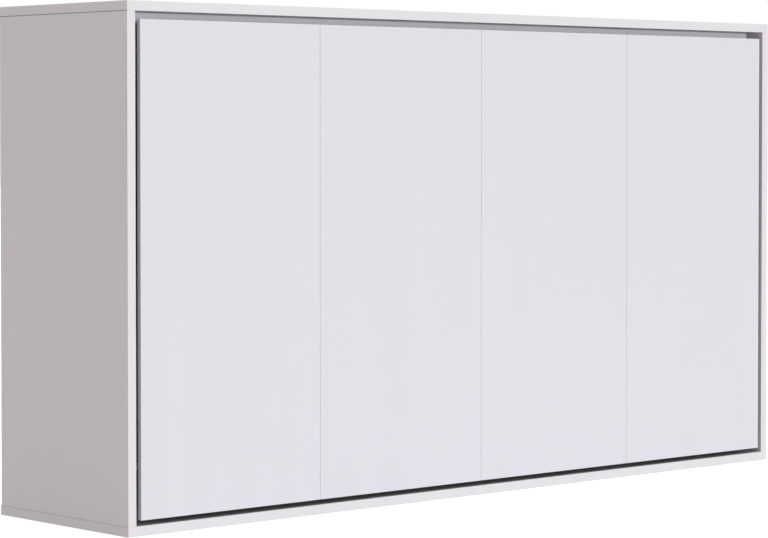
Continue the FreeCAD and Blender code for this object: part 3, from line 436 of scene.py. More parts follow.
# %% Powder coat
STEEL_LIGHT = (0.026, 0.027, 0.031)
STEEL_DARK = (0.019, 0.02, 0.023)
POWDER_GLOSS = 0.3
RAIL_NODES = ("long_rail_lower", "long_rail_upper", "cross_rail_1", "cross_rail_2", "cross_rail_3")
SIDE_NODES = ("pivot_plate", "strut_bracket", "closing_stop", "end_rail", "hinge_plate", "leg_mount", "leg")

steel_finish = new_finish("powder_coat", STEEL_LIGHT)
shader_of(steel_finish).inputs["Specular IOR Level"].default_value = POWDER_GLOSS
tint(steel_finish, noise(steel_finish, scale=25), STEEL_DARK, STEEL_LIGHT)
shine(steel_finish, noise(steel_finish, scale=12), low=0.42, high=0.58)
relief(steel_finish, noise(steel_finish, scale=650, detail=2.0), depth=0.00008)
side_steel = [f"{piece}_{side}" for piece in SIDE_NODES for side in SIDES]
dress(steel_finish, *RAIL_NODES, *side_steel, "strap_anchors")

# %% [markdown]
# ## Zinc and chrome
# Screws and pins are zinc plated, a bright metal with cloudy patches. The cams are cast zinc, which is
# duller and has a cast skin. The piston rods are hard chrome, almost a mirror, with faint rings left by
# polishing. All three are the same metallic shader, so the patterns of shine and relief have to tell them
# apart.

# %% Zinc and chrome
ZINC_LIGHT = (0.74, 0.74, 0.71)
ZINC_DARK = (0.55, 0.56, 0.56)
CAST_GREY = (0.5, 0.5, 0.51)
CHROME_GREY = (0.72, 0.72, 0.74)
SCREW_NODES = ("back_sheet_screws", "side_fitting_screws", "front_panel_screws", "frame_bolts")
PIN_NODES = ("corner_cam_bolts", "pivot_pin_left", "pivot_pin_right")

zinc_finish = new_finish("zinc_plate", ZINC_LIGHT, metallic=1.0)
tint(zinc_finish, noise(zinc_finish, scale=160, detail=4.0), ZINC_DARK, ZINC_LIGHT)
shine(zinc_finish, noise(zinc_finish, scale=220, detail=3.0), low=0.26, high=0.46)
relief(zinc_finish, noise(zinc_finish, scale=2500), depth=0.00001)
dress(zinc_finish, *SCREW_NODES, *PIN_NODES)

cast_finish = new_finish("zinc_casting", CAST_GREY, metallic=1.0)
shine(cast_finish, noise(cast_finish, scale=300), low=0.42, high=0.6)
relief(cast_finish, noise(cast_finish, scale=1500, detail=4.0), depth=0.00004)
dress(cast_finish, "corner_cams")

chrome_finish = new_finish("rod_chrome", CHROME_GREY, metallic=1.0)
polish = noise(chrome_finish, scale=900, stretch=(0.02, 0.08, 1))
shine(chrome_finish, polish, low=0.05, high=0.12)
relief(chrome_finish, polish, depth=0.000002)
dress(chrome_finish, "strut_rod_left", "strut_rod_right")

# %% [markdown]
# ## Strut paint
# The struts' tubes are sprayed a glossy black. Fresh paint mirrors sharply on top and softly from below, and
# one roughness can't do both. A clear coat over a rougher base can.

# %% Strut paint
PAINT_BLACK = (0.012, 0.012, 0.013)
CLEAR_COAT = 0.5
CLEAR_COAT_ROUGHNESS = 0.08

paint_finish = new_finish("strut_paint", PAINT_BLACK)
shader_of(paint_finish).inputs["Coat Weight"].default_value = CLEAR_COAT
shader_of(paint_finish).inputs["Coat Roughness"].default_value = CLEAR_COAT_ROUGHNESS
shine(paint_finish, noise(paint_finish, scale=90), low=0.18, high=0.3)
relief(paint_finish, noise(paint_finish, scale=350, detail=1.0), depth=0.00002)
dress(paint_finish, "strut_cylinder_left", "strut_cylinder_right")

# %% [markdown]
# ## Plastic, rubber and nylon
# Slat holders, feet and buckles are moulded plastic with the fine matt skin of an eroded mould. The buffers
# are rubber, rough and a little dusty. The bushes are natural nylon, which lets some light in, so it gets a
# little scattering below its surface.

# %% Plastic, rubber and nylon
PLASTIC_LIGHT = (0.027, 0.027, 0.029)
PLASTIC_DARK = (0.018, 0.018, 0.02)
RUBBER_LIGHT = (0.026, 0.025, 0.025)
RUBBER_DARK = (0.014, 0.014, 0.014)
NYLON = (0.68, 0.66, 0.59)
NYLON_SCATTER = 0.15
NYLON_SCATTER_DEPTH = 0.002

plastic_finish = new_finish("moulded_plastic", PLASTIC_LIGHT)
tint(plastic_finish, noise(plastic_finish, scale=40), PLASTIC_DARK, PLASTIC_LIGHT)
shine(plastic_finish, noise(plastic_finish, scale=60), low=0.42, high=0.6)
relief(plastic_finish, noise(plastic_finish, scale=1800, detail=4.0), depth=0.00003)
dress(plastic_finish, "slat_holders", "leg_foot_left", "leg_foot_right", "strap_buckles")

rubber_finish = new_finish("buffer_rubber", RUBBER_LIGHT, roughness=0.82)
tint(rubber_finish, noise(rubber_finish, scale=120), RUBBER_DARK, RUBBER_LIGHT)
relief(rubber_finish, noise(rubber_finish, scale=1400, detail=3.0), depth=0.00005)
dress(rubber_finish, "stop_buffers")

bush_finish = new_finish("bush_nylon", NYLON)
shader_of(bush_finish).inputs["Subsurface Weight"].default_value = NYLON_SCATTER
shader_of(bush_finish).inputs["Subsurface Scale"].default_value = NYLON_SCATTER_DEPTH
shine(bush_finish, noise(bush_finish, scale=150), low=0.35, high=0.5)
relief(bush_finish, noise(bush_finish, scale=1600), depth=0.00001)
dress(bush_finish, "pivot_bush_left", "pivot_bush_right")

# %% [markdown]
# ## Beech slats and dowels
# The slats are moulded from layers of beech. The broad faces show long grain with the short dark flecks
# that beech has, and the edges show the layers as fine lines. The layers could be modelled as sheets, but
# a stripe on Y, across the slat's thickness, does the same: it shows only where the surface is cut across
# it. The dowels are the same wood without layers.

# %% Beech
BEECH_LIGHT = (0.63, 0.43, 0.25)
BEECH_DARK = (0.49, 0.31, 0.165)
FLECK_LEVEL = 0.66
PLY = 0.0011
PLY_SHARE = 0.25


def beech(name, layered):
    finish = new_finish(name, BEECH_LIGHT)
    long_grain = noise(finish, scale=90, stretch=(1, 1, 0.03), detail=6.0, rough=0.65)
    flecks = noise(finish, scale=420, stretch=(1, 1, 0.12), detail=1.0)
    pattern = mixed(finish, "SUBTRACT", long_grain, mixed(finish, "GREATER_THAN", flecks, FLECK_LEVEL))
    if layered:
        across = mixed(finish, "MULTIPLY", coordinate(finish, "Y"), 2 * math.pi / PLY)
        stripe = mixed(finish, "SINE", across)
        cut = mixed(finish, "MULTIPLY", stripe, facing(finish, "X"))
        pattern = mixed(finish, "ADD", pattern, mixed(finish, "MULTIPLY", cut, PLY_SHARE))
    tint(finish, pattern, BEECH_DARK, BEECH_LIGHT, low=0.25, high=0.6)
    shine(finish, long_grain, low=0.34, high=0.5)
    relief(finish, long_grain, depth=0.00008)
    return finish


dress(beech("slat_veneer", layered=True), "bed_slats")
dress(beech("dowel_wood", layered=False), "wooden_dowels")

# %% [markdown]
# ## Working on a piece
# Every new piece starts as a primitive of its real size and place and is shaped in edit mode. An operator
# acts on all that is selected, so the habit is: deselect all, take one piece, choose its faces or edges by
# their place or normal, and leave edit mode again. A finished piece has its place in its mesh, as the CAD
# nodes have.


# %% Take and shape a piece
NEAR = 0.00001
MM_PER_METRE = 1000


def take(*pieces):
    bpy.ops.object.select_all(action="DESELECT")
    for piece in pieces:
        piece.select_set(True)
    bpy.context.view_layer.objects.active = pieces[0]


def settle(piece, name):
    """Names a new piece and moves its place into its mesh."""
    piece.name = piece.data.name = name
    take(piece)
    bpy.ops.object.transform_apply(location=True, rotation=True, scale=True)
    return piece


def new_block(name, low, high):
    low, high = Vector(low), Vector(high)
    bpy.ops.object.select_all(action="DESELECT")
    bpy.ops.mesh.primitive_cube_add(size=1, location=(low + high) / 2, scale=high - low)
    return settle(bpy.context.object, name)


def choose_all(piece):
    """Enters edit mode with the whole mesh selected."""
    take(piece)
    bpy.ops.object.mode_set(mode="EDIT")
    bpy.ops.mesh.select_mode(type="VERT")
    bpy.ops.mesh.select_all(action="SELECT")


def choose_edges(piece, rule):
    """Enters edit mode with only the edges selected whose two ends fit the rule."""
    take(piece)
    bpy.ops.object.mode_set(mode="EDIT")
    bpy.ops.mesh.select_mode(type="EDGE")
    bpy.ops.mesh.select_all(action="DESELECT")
    bpy.ops.object.mode_set(mode="OBJECT")
    corners = piece.data.vertices
    for edge in piece.data.edges:
        edge.select = bool(rule(*(corners[number].co for number in edge.vertices)))
    bpy.ops.object.mode_set(mode="EDIT")


def done():
    bpy.ops.object.mode_set(mode="OBJECT")


def modify(piece, kind, **settings):
    """Adds a modifier and applies it at once."""
    take(piece)
    modifier = piece.modifiers.new(kind.title(), kind)
    for name, value in settings.items():
        setattr(modifier, name, value)
    bpy.ops.object.modifier_apply(modifier=modifier.name)


def smooth(piece, angle=35):
    take(piece)
    bpy.ops.object.shade_smooth_by_angle(angle=math.radians(angle))


print("modelling helpers are ready")

# %% [markdown]
# ## Mattress
# The mattress is a firm foam core in a knitted cover. The cover's broad sides are quilted in squares, its
# border is plain, and a piped seam runs round each broad side. The quilting is made as the real one is: the
# seams are held where they are sewn, and the cloth between them is pushed out by the padding. So the mesh
# is a fine grid, its stitched lines are pinned, and Blender's Cloth puffs the rest with a little pressure.

# %% Mattress core and quilting grid
mattress_low, mattress_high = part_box("mattress")
QUILTS = (16, 0, 8)
CELLS_PER_QUILT = 8
BORDER_CELLS = 10
SEAM_SINK = 0.0085
SIDE_SINK = 0.0015
MATTRESS_ROUND = 0.026

sunk = Vector((SIDE_SINK, SEAM_SINK, SIDE_SINK))
mattress = new_block("mattress_cover", mattress_low + sunk, mattress_high - sunk)
modify(mattress, "BEVEL", width=MATTRESS_ROUND, segments=4)
for axis in range(3):
    cells = QUILTS[axis] * CELLS_PER_QUILT or BORDER_CELLS
    half_run = (mattress_high - mattress_low)[axis] / 2
    choose_edges(mattress, lambda a, b: abs((a - b)[axis]) > half_run)
    bpy.ops.mesh.subdivide_edgering(number_cuts=cells - 1, interpolation="LINEAR")
    done()
print("mattress grid", len(mattress.data.polygons), "faces")

# %% [markdown]
# The stitched lines run from edge to edge on the broad sides. The swells between them could be modelled
# as equal domes, but cloth pulls tight where two lines cross, as real quilting does. Every point off the
# lines may move, though no further than the padding is thick. The border stays as it is, because it is
# firm foam.

# %% Puff the quilting
PUFF_LIMIT = 0.0083
PUFF_FRAMES = 20
CLOTH = {
    "quality": 4,
    "mass": 0.15,
    "tension_stiffness": 4,
    "compression_stiffness": 4,
    "shear_stiffness": 3,
    "bending_stiffness": 0.3,
    "use_pressure": True,
    "uniform_pressure_force": 45.0,
    "vertex_group_mass": "stitched",
}
ON_LINE_SHARE = 0.2
ON_EDGE_SHARE = 0.001

flat_low = mattress_low + sunk + Vector((MATTRESS_ROUND,) * 3)
flat_high = mattress_high - sunk - Vector((MATTRESS_ROUND,) * 3)


def on_stitching(point):
    """True on a stitched line, and everywhere off the broad sides."""
    for axis in (0, 2):
        share = (point[axis] - flat_low[axis]) / (flat_high[axis] - flat_low[axis])
        quilt = share * QUILTS[axis]
        on_edge = share < ON_EDGE_SHARE or share > 1 - ON_EDGE_SHARE
        if on_edge or abs(quilt - round(quilt)) < ON_LINE_SHARE / CELLS_PER_QUILT:
            return True
    return flat_low.y < point.y < flat_high.y


stitched = mattress.vertex_groups.new(name="stitched")
held = [corner.index for corner in mattress.data.vertices if on_stitching(corner.co)]
stitched.add(held, 1.0, "REPLACE")
before = [corner.co.copy() for corner in mattress.data.vertices]
take(mattress)
cloth = mattress.modifiers.new("Puff", "CLOTH")
for name, value in CLOTH.items():
    setattr(cloth.settings, name, value)
cloth.settings.effector_weights.gravity = 0
cloth.collision_settings.use_collision = False
cloth.point_cache.frame_end = PUFF_FRAMES
for step in range(1, PUFF_FRAMES + 1):
    scene.frame_set(step)
bpy.ops.object.modifier_apply(modifier=cloth.name)
moved = 0.0
for corner, start in zip(mattress.data.vertices, before):
    drift = corner.co - start
    if drift.length > PUFF_LIMIT:
        corner.co = start + drift * (PUFF_LIMIT / drift.length)
    moved = max(moved, drift.length)
mattress.vertex_groups.clear()
modify(mattress, "SUBSURF", levels=1, render_levels=1)
smooth(mattress, angle=60)
print("quilting rose by", round(moved * MM_PER_METRE, 1), "mm,", len(mattress.data.polygons), "faces")

# %% [markdown]
# ## Mattress cover
# The cover is a double knit. Its loops make a fine dimpled surface, about a millimetre and a half from
# loop to loop. Modelled loops would take millions of faces, so a flat Voronoi pattern gives the dimples,
# laid over whichever side the surface faces, and paints shade into the colour between the loops. The yarn
# scatters light softly, so it gets a little sheen.

# %% Knitted cover
KNIT_LIGHT = (0.74, 0.74, 0.755)
KNIT_DARK = (0.63, 0.63, 0.65)
KNIT_LOOPS = 640
LOOP_DISORDER = 0.45
LOOP_SHADE_SHARE = 0.6
YARN_SHARE = 0.5
YARN_SHEEN = 0.25
END_ON = 0.7


def flat_place(finish):
    """Coordinates that run over whichever side the surface faces, so that a flat pattern fits every side."""
    vector = add_node(finish, "ShaderNodeCombineXYZ")
    for socket, axis in (("X", "X"), ("Y", "Z")):
        end_on = mixed(finish, "GREATER_THAN", facing(finish, axis), END_ON)
        broad_on = mixed(finish, "SUBTRACT", 1.0, end_on)
        other = mixed(finish, "MULTIPLY", end_on, coordinate(finish, "Y"))
        own = mixed(finish, "MULTIPLY", broad_on, coordinate(finish, axis))
        wire(finish, mixed(finish, "ADD", own, other), vector.inputs[socket])
    return vector.outputs["Vector"]


def knit(name, light, dark):
    finish = new_finish(name, light, roughness=0.9)
    shader_of(finish).inputs["Sheen Weight"].default_value = YARN_SHEEN
    shader_of(finish).inputs["Sheen Roughness"].default_value = 0.5
    inputs = {"Scale": KNIT_LOOPS, "Randomness": LOOP_DISORDER}
    loops = add_node(finish, "ShaderNodeTexVoronoi", inputs, voronoi_dimensions="2D")
    wire(finish, flat_place(finish), loops.inputs["Vector"])
    # Painted shade: the colour is darker between the loops, and the yarn's own tone drifts at random on top.
    height = mixed(finish, "SUBTRACT", 1.0, loops.outputs["Distance"])
    yarn = mixed(finish, "MULTIPLY", noise(finish, scale=35, detail=4.0), YARN_SHARE)
    shade = mixed(finish, "ADD", mixed(finish, "MULTIPLY", height, LOOP_SHADE_SHARE), yarn)
    tint(finish, shade, dark, light, low=0.3, high=0.75)
    relief(finish, height, depth=0.0004)
    relief(finish, noise(finish, scale=60, detail=3.0), depth=0.0008, strength=0.4)
    return finish


knit_finish = knit("knit_cover", KNIT_LIGHT, KNIT_DARK)
print(knit_finish.name, "has", KNIT_LOOPS, "loops to the metre")

# %% [markdown]
# The quilting thread lies in the seams. Its stitches would be more than ten thousand small tubes, so the
# finish draws them. A seam is where the distance from the nearest grid line is less than half the thread,
# and a sine along the seam breaks the thread into stitches. It is sewn only through the broad sides,
# which look along Y.

# %% Quilting thread
THREAD = 0.0016
STITCH = 0.006
STITCH_GAP = -0.5
THREAD_COLOR = (0.46, 0.46, 0.49)
THREAD_RISE = 0.0004


def sewn_lines(finish, axis, other):
    number = "XYZ".index(axis)
    pitch = (flat_high[number] - flat_low[number]) / QUILTS[number]
    from_first = mixed(finish, "SUBTRACT", coordinate(finish, axis), flat_low[number])
    away = mixed(finish, "PINGPONG", from_first, pitch / 2)
    wave = mixed(finish, "MULTIPLY", coordinate(finish, other), 2 * math.pi / STITCH)
    stitches = mixed(finish, "GREATER_THAN", mixed(finish, "SINE", wave), STITCH_GAP)
    return mixed(finish, "MULTIPLY", mixed(finish, "LESS_THAN", away, THREAD / 2), stitches)


sewn = mixed(knit_finish, "MAXIMUM", sewn_lines(knit_finish, "X", "Z"), sewn_lines(knit_finish, "Z", "X"))
broad_side = mixed(knit_finish, "GREATER_THAN", facing(knit_finish, "Y"), END_ON)
thread = mixed(knit_finish, "MULTIPLY", sewn, broad_side)
overlay(knit_finish, thread, THREAD_COLOR)
relief(knit_finish, thread, THREAD_RISE)
print("stitches", round(STITCH * MM_PER_METRE, 1), "mm long")

# %% [markdown]
# A finished piece gets its finish, the body that it moves with, and the CAD nodes whose place it takes.
# The mattress is a soft piece filled with foam.


# %% Hand over the mattress
def hand_over(piece, body, slot, finish, *replaced):
    """Gives a finished piece its finish, its body and the CAD nodes it stands for."""
    piece.data.materials.clear()
    piece.data.materials.append(finish)
    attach(piece, body)
    if replaced:
        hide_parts(*replaced)
    return piece


hand_over(mattress, "bed", "mattress_cover", knit_finish, "mattress")
print("mattress handed over")

# %% [markdown]
# The piping is a cord in a strip of the same cloth, sewn into the seam between a broad side and the
# border. It could be swept by hand, but a curve gives an even round tube at once: a flat ring of the
# mattress's outline, with rounded corners, becomes a curve and then a tube.

# %% Piping
SEAM_ANGLE = 45
PIPING_RADIUS = 0.003
PIPING_CORNER = 0.03
PIPING_CORNER_STEPS = 8
PIPING_ROUNDNESS = 3
PIPING_LIGHT = (0.62, 0.62, 0.64)
PIPING_DARK = (0.52, 0.52, 0.54)

seam_inset = MATTRESS_ROUND * (1 - math.cos(math.radians(SEAM_ANGLE)))
mattress_middle = (mattress_low + mattress_high) / 2
ring_size = mattress_high - mattress_low - 2 * Vector((1, 1, 1)) * (SIDE_SINK + seam_inset)


def one_piece(name, *parts):
    """Joins parts into one named piece."""
    take(*parts)
    if len(parts) > 1:
        bpy.ops.object.join()
    return settle(bpy.context.view_layer.objects.active, name)


def make_piping(name, y):
    bpy.ops.object.select_all(action="DESELECT")
    place = (mattress_middle.x, y, mattress_middle.z)
    bpy.ops.mesh.primitive_plane_add(size=1, location=place, rotation=(math.radians(90), 0, 0))
    ring = bpy.context.object
    ring.scale = (ring_size.x, ring_size.z, 1)
    choose_all(settle(ring, name))
    bpy.ops.mesh.bevel(offset=PIPING_CORNER, segments=PIPING_CORNER_STEPS, affect="VERTICES")
    bpy.ops.mesh.select_all(action="SELECT")
    bpy.ops.mesh.delete(type="ONLY_FACE")
    done()
    bpy.ops.object.convert(target="CURVE")
    ring.data.bevel_depth = PIPING_RADIUS
    ring.data.bevel_resolution = PIPING_ROUNDNESS
    bpy.ops.object.convert(target="MESH")
    return ring


seam_depth = SEAM_SINK + seam_inset
front_ring = make_piping("front_ring", mattress_low.y + seam_depth)
rear_ring = make_piping("rear_ring", mattress_high.y - seam_depth)
piping = one_piece("mattress_piping", front_ring, rear_ring)
smooth(piping, angle=60)
hand_over(piping, "bed", "mattress_cover", knit("piping_tape", PIPING_LIGHT, PIPING_DARK))
print("piping", len(piping.data.polygons), "faces")

# %% [markdown]
# ## Webbing
# The two straps are woven webbing. Plain weave is a chequer of yarns that pass over and under each other:
# the product of a sine across the strap and a sine along it. It gives the relief, and painted shade where a
# yarn dips under. Y + Z grows along the strap on each of its runs, so the weave follows it round the
# mattress without a UV map.

# %% Woven webbing finish
YARN_ACROSS = 0.0016
YARN_ALONG = 0.0022
WEBBING_LIGHT = (0.05, 0.05, 0.055)
WEBBING_SHADED = (0.018, 0.018, 0.02)
WEBBING_SHEEN = 0.3

webbing_finish = new_finish("strap_webbing", WEBBING_LIGHT, roughness=0.8)
shader_of(webbing_finish).inputs["Sheen Weight"].default_value = WEBBING_SHEEN
shader_of(webbing_finish).inputs["Sheen Roughness"].default_value = 0.4
along = mixed(webbing_finish, "ADD", coordinate(webbing_finish, "Y"), coordinate(webbing_finish, "Z"))
yarns = [
    mixed(webbing_finish, "SINE", mixed(webbing_finish, "MULTIPLY", where, 2 * math.pi / pitch))
    for where, pitch in ((coordinate(webbing_finish, "X"), YARN_ACROSS), (along, YARN_ALONG))
]
weave = mixed(webbing_finish, "MULTIPLY", *yarns)
# Painted shade: the colour is darker where the weave dips.
tint(webbing_finish, weave, WEBBING_SHADED, WEBBING_LIGHT, low=0.0, high=1.0)
relief(webbing_finish, weave, depth=0.0003)
print(webbing_finish.name, "has yarns", round(YARN_ACROSS * MM_PER_METRE, 1), "mm wide")

# %% [markdown]
# A strap leaves a plate on the lower rail, goes under the mattress's edge, up its rear face and over its
# top edge to the upper rail. It is a narrow plane, pushed on step by step along that way, then given
# thickness. That keeps its width the same on every run, as woven webbing keeps it.

# %% Straps
STRAP_THICKNESS = 0.0015
STRAP_GAP = 0.0006
STRAP_FOOT = 0.028
STRAP_PRESS = 0.0005
STRAP_LIFT = 0.0008
STRAP_EDGE = 0.0004
CORNER_STEPS = 6


def extrude(step):
    bpy.ops.mesh.extrude_region_move(TRANSFORM_OT_translate={"value": tuple(step)})


def soften_edges(piece, width, segments=2, angle=30):
    limit = math.radians(angle)
    modify(piece, "BEVEL", width=width, segments=segments, limit_method="ANGLE", angle_limit=limit)


def strap_way(low):
    """Points in (Y, Z) of the strap's middle, from the lower anchor round the mattress's lower edge."""
    radius = MATTRESS_ROUND + STRAP_GAP + STRAP_THICKNESS / 2
    centre_y = mattress_high.y - MATTRESS_ROUND - STRAP_PRESS
    centre_z = mattress_low.z + MATTRESS_ROUND + STRAP_LIFT
    foot_z = low.z + STRAP_THICKNESS / 2
    way = [(low.y, foot_z), (low.y + STRAP_FOOT, foot_z)]
    for step in range(CORNER_STEPS + 1):
        angle = math.radians(90) * step / CORNER_STEPS
        way.append((centre_y + radius * math.sin(angle), centre_z - radius * math.cos(angle)))
    return way


def make_strap(side):
    node = f"mattress_strap_{side}"
    low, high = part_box(node)
    way = strap_way(low)
    way += [(y, low.z + high.z - z) for y, z in reversed(way)]
    start_y, foot_y = way[0][0], way[1][0]
    bpy.ops.object.select_all(action="DESELECT")
    place = ((low.x + high.x) / 2, (start_y + foot_y) / 2, way[0][1])
    bpy.ops.mesh.primitive_plane_add(size=1, location=place)
    strap = bpy.context.object
    strap.scale = (high.x - low.x, foot_y - start_y, 1)
    settle(strap, f"woven_strap_{side}")
    choose_edges(strap, lambda a, b: a.y > foot_y - NEAR and b.y > foot_y - NEAR)
    for start, end in zip(way[1:], way[2:]):
        extrude((0, end[0] - start[0], end[1] - start[1]))
    done()
    modify(strap, "SOLIDIFY", thickness=STRAP_THICKNESS, offset=0, use_even_offset=True)
    soften_edges(strap, STRAP_EDGE, angle=60)
    smooth(strap, angle=50)
    return hand_over(strap, "bed", "strap_webbing", webbing_finish, node)


for side in SIDES:
    strap = make_strap(side)
    print(strap.name, len(strap.data.polygons), "faces")

# %% [markdown]
# The next pieces are small and there are several of each. Their CAD node holds one solid for each of them,
# so the boxes of the separate solids say where each one goes. More helpers: a round bar, a choice of faces,
# and the turn that lays an upright model along another axis.


# %% Solids, rounds and turns
STRAIGHT = 0.9
SAME_PLACE_DIGITS = 5
AXES = {"X": Vector((1, 0, 0)), "Y": Vector((0, 1, 0))}


def solids_of(name):
    """The box of each separate solid in a CAD node, found by the corners that its triangles share."""
    mesh = frame["nodes"][name].data
    keys = [tuple(round(number, SAME_PLACE_DIGITS) for number in corner.co) for corner in mesh.vertices]
    above = {key: key for key in keys}

    def root(key):
        while above[key] != key:
            above[key] = above[above[key]]
            key = above[key]
        return key

    for edge in mesh.edges:
        first, second = (root(keys[number]) for number in edge.vertices)
        above[first] = second
    groups = {}
    for key in above:
        groups.setdefault(root(key), []).append(key)
    boxes = []
    for corners in groups.values():
        low = Vector(min(corner[axis] for corner in corners) for axis in range(3))
        high = Vector(max(corner[axis] for corner in corners) for axis in range(3))
        boxes.append((low, high))
    return sorted(boxes, key=lambda box: tuple(box[0]))


def new_round(name, radius, low, high, sides=24):
    """A round bar up the Z axis."""
    bpy.ops.object.select_all(action="DESELECT")
    bpy.ops.mesh.primitive_cylinder_add(
        radius=radius,
        depth=high - low,
        vertices=sides,
        location=(0, 0, (low + high) / 2),
    )
    return settle(bpy.context.object, name)


def choose_faces(piece, rule):
    """Enters edit mode with only the faces selected whose centre and normal fit the rule."""
    take(piece)
    bpy.ops.object.mode_set(mode="EDIT")
    bpy.ops.mesh.select_mode(type="FACE")
    bpy.ops.mesh.select_all(action="DESELECT")
    bpy.ops.object.mode_set(mode="OBJECT")
    for face in piece.data.polygons:
        face.select = bool(rule(face.center, face.normal))
    bpy.ops.object.mode_set(mode="EDIT")


def laid_along(way, place):
    """The turn that lays Z along any direction, at a place."""
    return Matrix.Translation(place) @ way.to_track_quat("Z", "Y").to_matrix().to_4x4()


def turned(axis, place, sign=1):
    """The turn that lays Z along an axis, or against it, at a place."""
    return laid_along(AXES[axis] * sign, place)


print("strap buckles:", len(solids_of("strap_buckles")))

# %% [markdown]
# Each strap is drawn tight by a buckle: a moulded frame with a hinged lever that clamps the webbing. The
# frame is a block with its middle pressed in, and the lever is a plate with grip ribs. All edges are
# rounded before the parts are joined, because moulded plastic has no sharp ones, and the rounds catch the
# light.

# %% Buckles
BUCKLE_ROUND = 0.003
BUCKLE_RIM = 0.004
BUCKLE_POCKET, POCKET_EDGE = 0.0035, 0.0004
LEVER_SIDE_GAP, LEVER_LOW_GAP, LEVER_HIGH_GAP = 0.0055, 0.0075, 0.014
LEVER_DEPTH, LEVER_SINK, LEVER_ROUND = 0.0034, 0.0008, 0.0008
LEVER_RIBS, RIB_RUN_SHARE, RIB_INSET = 4, 0.6, 0.003
RIB_WIDTH, RIB_RISE, RIB_ROOT, RIB_ROUND = 0.0018, 0.0007, 0.0004, 0.0005
AXLE_RADIUS, AXLE_INSET, AXLE_DEPTH, AXLE_DROP = 0.0018, 0.0015, 0.0028, 0.0105


def make_buckle(low, high):
    frame_part = new_block("buckle_frame", low, high)
    soften_edges(frame_part, BUCKLE_ROUND, segments=3)
    choose_faces(frame_part, lambda at, normal: normal.y > STRAIGHT and at.y > high.y - NEAR)
    bpy.ops.mesh.inset(thickness=BUCKLE_RIM)
    bpy.ops.mesh.inset(thickness=POCKET_EDGE, depth=-BUCKLE_POCKET)
    done()
    lever_low = Vector((low.x + LEVER_SIDE_GAP, high.y - LEVER_DEPTH, low.z + LEVER_LOW_GAP))
    lever_high = Vector((high.x - LEVER_SIDE_GAP, high.y - LEVER_SINK, high.z - LEVER_HIGH_GAP))
    lever = new_block("buckle_lever", lever_low, lever_high)
    soften_edges(lever, LEVER_ROUND)
    parts = [frame_part, lever]
    run = (lever_high.z - lever_low.z) * RIB_RUN_SHARE
    for number in range(LEVER_RIBS):
        z = lever_low.z + RIB_INSET + run * number / LEVER_RIBS
        rib_low = (lever_low.x + RIB_INSET, lever_high.y - RIB_ROOT, z)
        rib_high = (lever_high.x - RIB_INSET, lever_high.y + RIB_RISE, z + RIB_WIDTH)
        rib = new_block("buckle_rib", rib_low, rib_high)
        soften_edges(rib, RIB_ROUND)
        parts.append(rib)
    reach = (high.x - low.x) / 2 - AXLE_INSET
    axle = new_round("buckle_axle", AXLE_RADIUS, -reach, reach, sides=16)
    axle.data.transform(turned("X", ((low.x + high.x) / 2, high.y - AXLE_DEPTH, high.z - AXLE_DROP)))
    return one_piece("buckle", *parts, axle)


buckles = one_piece("cam_buckles", *(make_buckle(*box) for box in solids_of("strap_buckles")))
smooth(buckles)
hand_over(buckles, "bed", "black_plastic", plastic_finish, "strap_buckles")
print("buckles", len(buckles.data.polygons), "faces")

# %% [markdown]
# The loose tail of each strap comes out below its buckle and lies flat on the strap. It is short and
# stiff and hangs straight, so a thin block with soft edges is enough.

# %% Strap tails
TAIL_LENGTH = 0.12
TAIL_HALF_WIDTH = 0.0148
TAIL_GAP, TAIL_FACE = 0.0003, 0.0016
TAIL_TUCK = 0.004


def make_tail(low, high):
    middle = (low.x + high.x) / 2
    tail_low = (middle - TAIL_HALF_WIDTH, low.y + TAIL_GAP, low.z - TAIL_LENGTH)
    tail_high = (middle + TAIL_HALF_WIDTH, low.y + TAIL_FACE, low.z + TAIL_TUCK)
    tail = new_block("tail", tail_low, tail_high)
    soften_edges(tail, STRAP_EDGE)
    return tail


tails = one_piece("strap_tails", *(make_tail(*box) for box in solids_of("strap_buckles")))
smooth(tails, angle=50)
hand_over(tails, "bed", "strap_webbing", webbing_finish)
print("tails", len(tails.data.polygons), "faces")

# %% [markdown]
# ## Screws and bolts
# The visible heads are pan heads with a cross recess. One screw is modelled at the origin with its head
# up: a cylinder whose rim is rounded, whose underside is inset and pulled down into a shank, and whose
# top is cut twice by a thin block. The thread is left off, because it is always inside the wood or the
# steel.

# %% Model a screw
CROSS_SHARE = 0.62
CROSS_WIDTH_SHARE = 0.17
CROSS_DEPTH_SHARE = 0.62
RIM_HEIGHT_SHARE = 0.7
RIM_RADIUS_SHARE = 0.5


def make_screw(name, head_radius, head, shank_radius, shank):
    screw = new_round(name, head_radius, 0, head, sides=20)
    choose_faces(screw, lambda at, normal: normal.z < -STRAIGHT)
    bpy.ops.mesh.inset(thickness=head_radius - shank_radius)
    extrude((0, 0, -shank))
    done()
    choose_edges(screw, lambda a, b: a.z > head - NEAR and b.z > head - NEAR)
    rim = min(head * RIM_HEIGHT_SHARE, head_radius * RIM_RADIUS_SHARE)
    bpy.ops.mesh.bevel(offset=rim, segments=3, affect="EDGES")
    done()
    reach, width = head_radius * CROSS_SHARE, head_radius * CROSS_WIDTH_SHARE
    floor_z = head * (1 - CROSS_DEPTH_SHARE)
    for half_x, half_y in ((reach, width), (width, reach)):
        cutter = new_block("recess", (-half_x, -half_y, floor_z), (half_x, half_y, head * 2))
        modify(screw, "BOOLEAN", operation="DIFFERENCE", object=cutter, solver="EXACT")
        bpy.data.objects.remove(cutter)
    return screw


print("cross recess", CROSS_SHARE, "of the head")

# %% [markdown]
# The model is then copied to the place of each screw in the CAD model. Each copy has its own mesh, so the
# copies can be joined into one piece. The heads of the back's and the panels' screws look to the rear,
# and those of the fittings look to the middle of the cabinet.


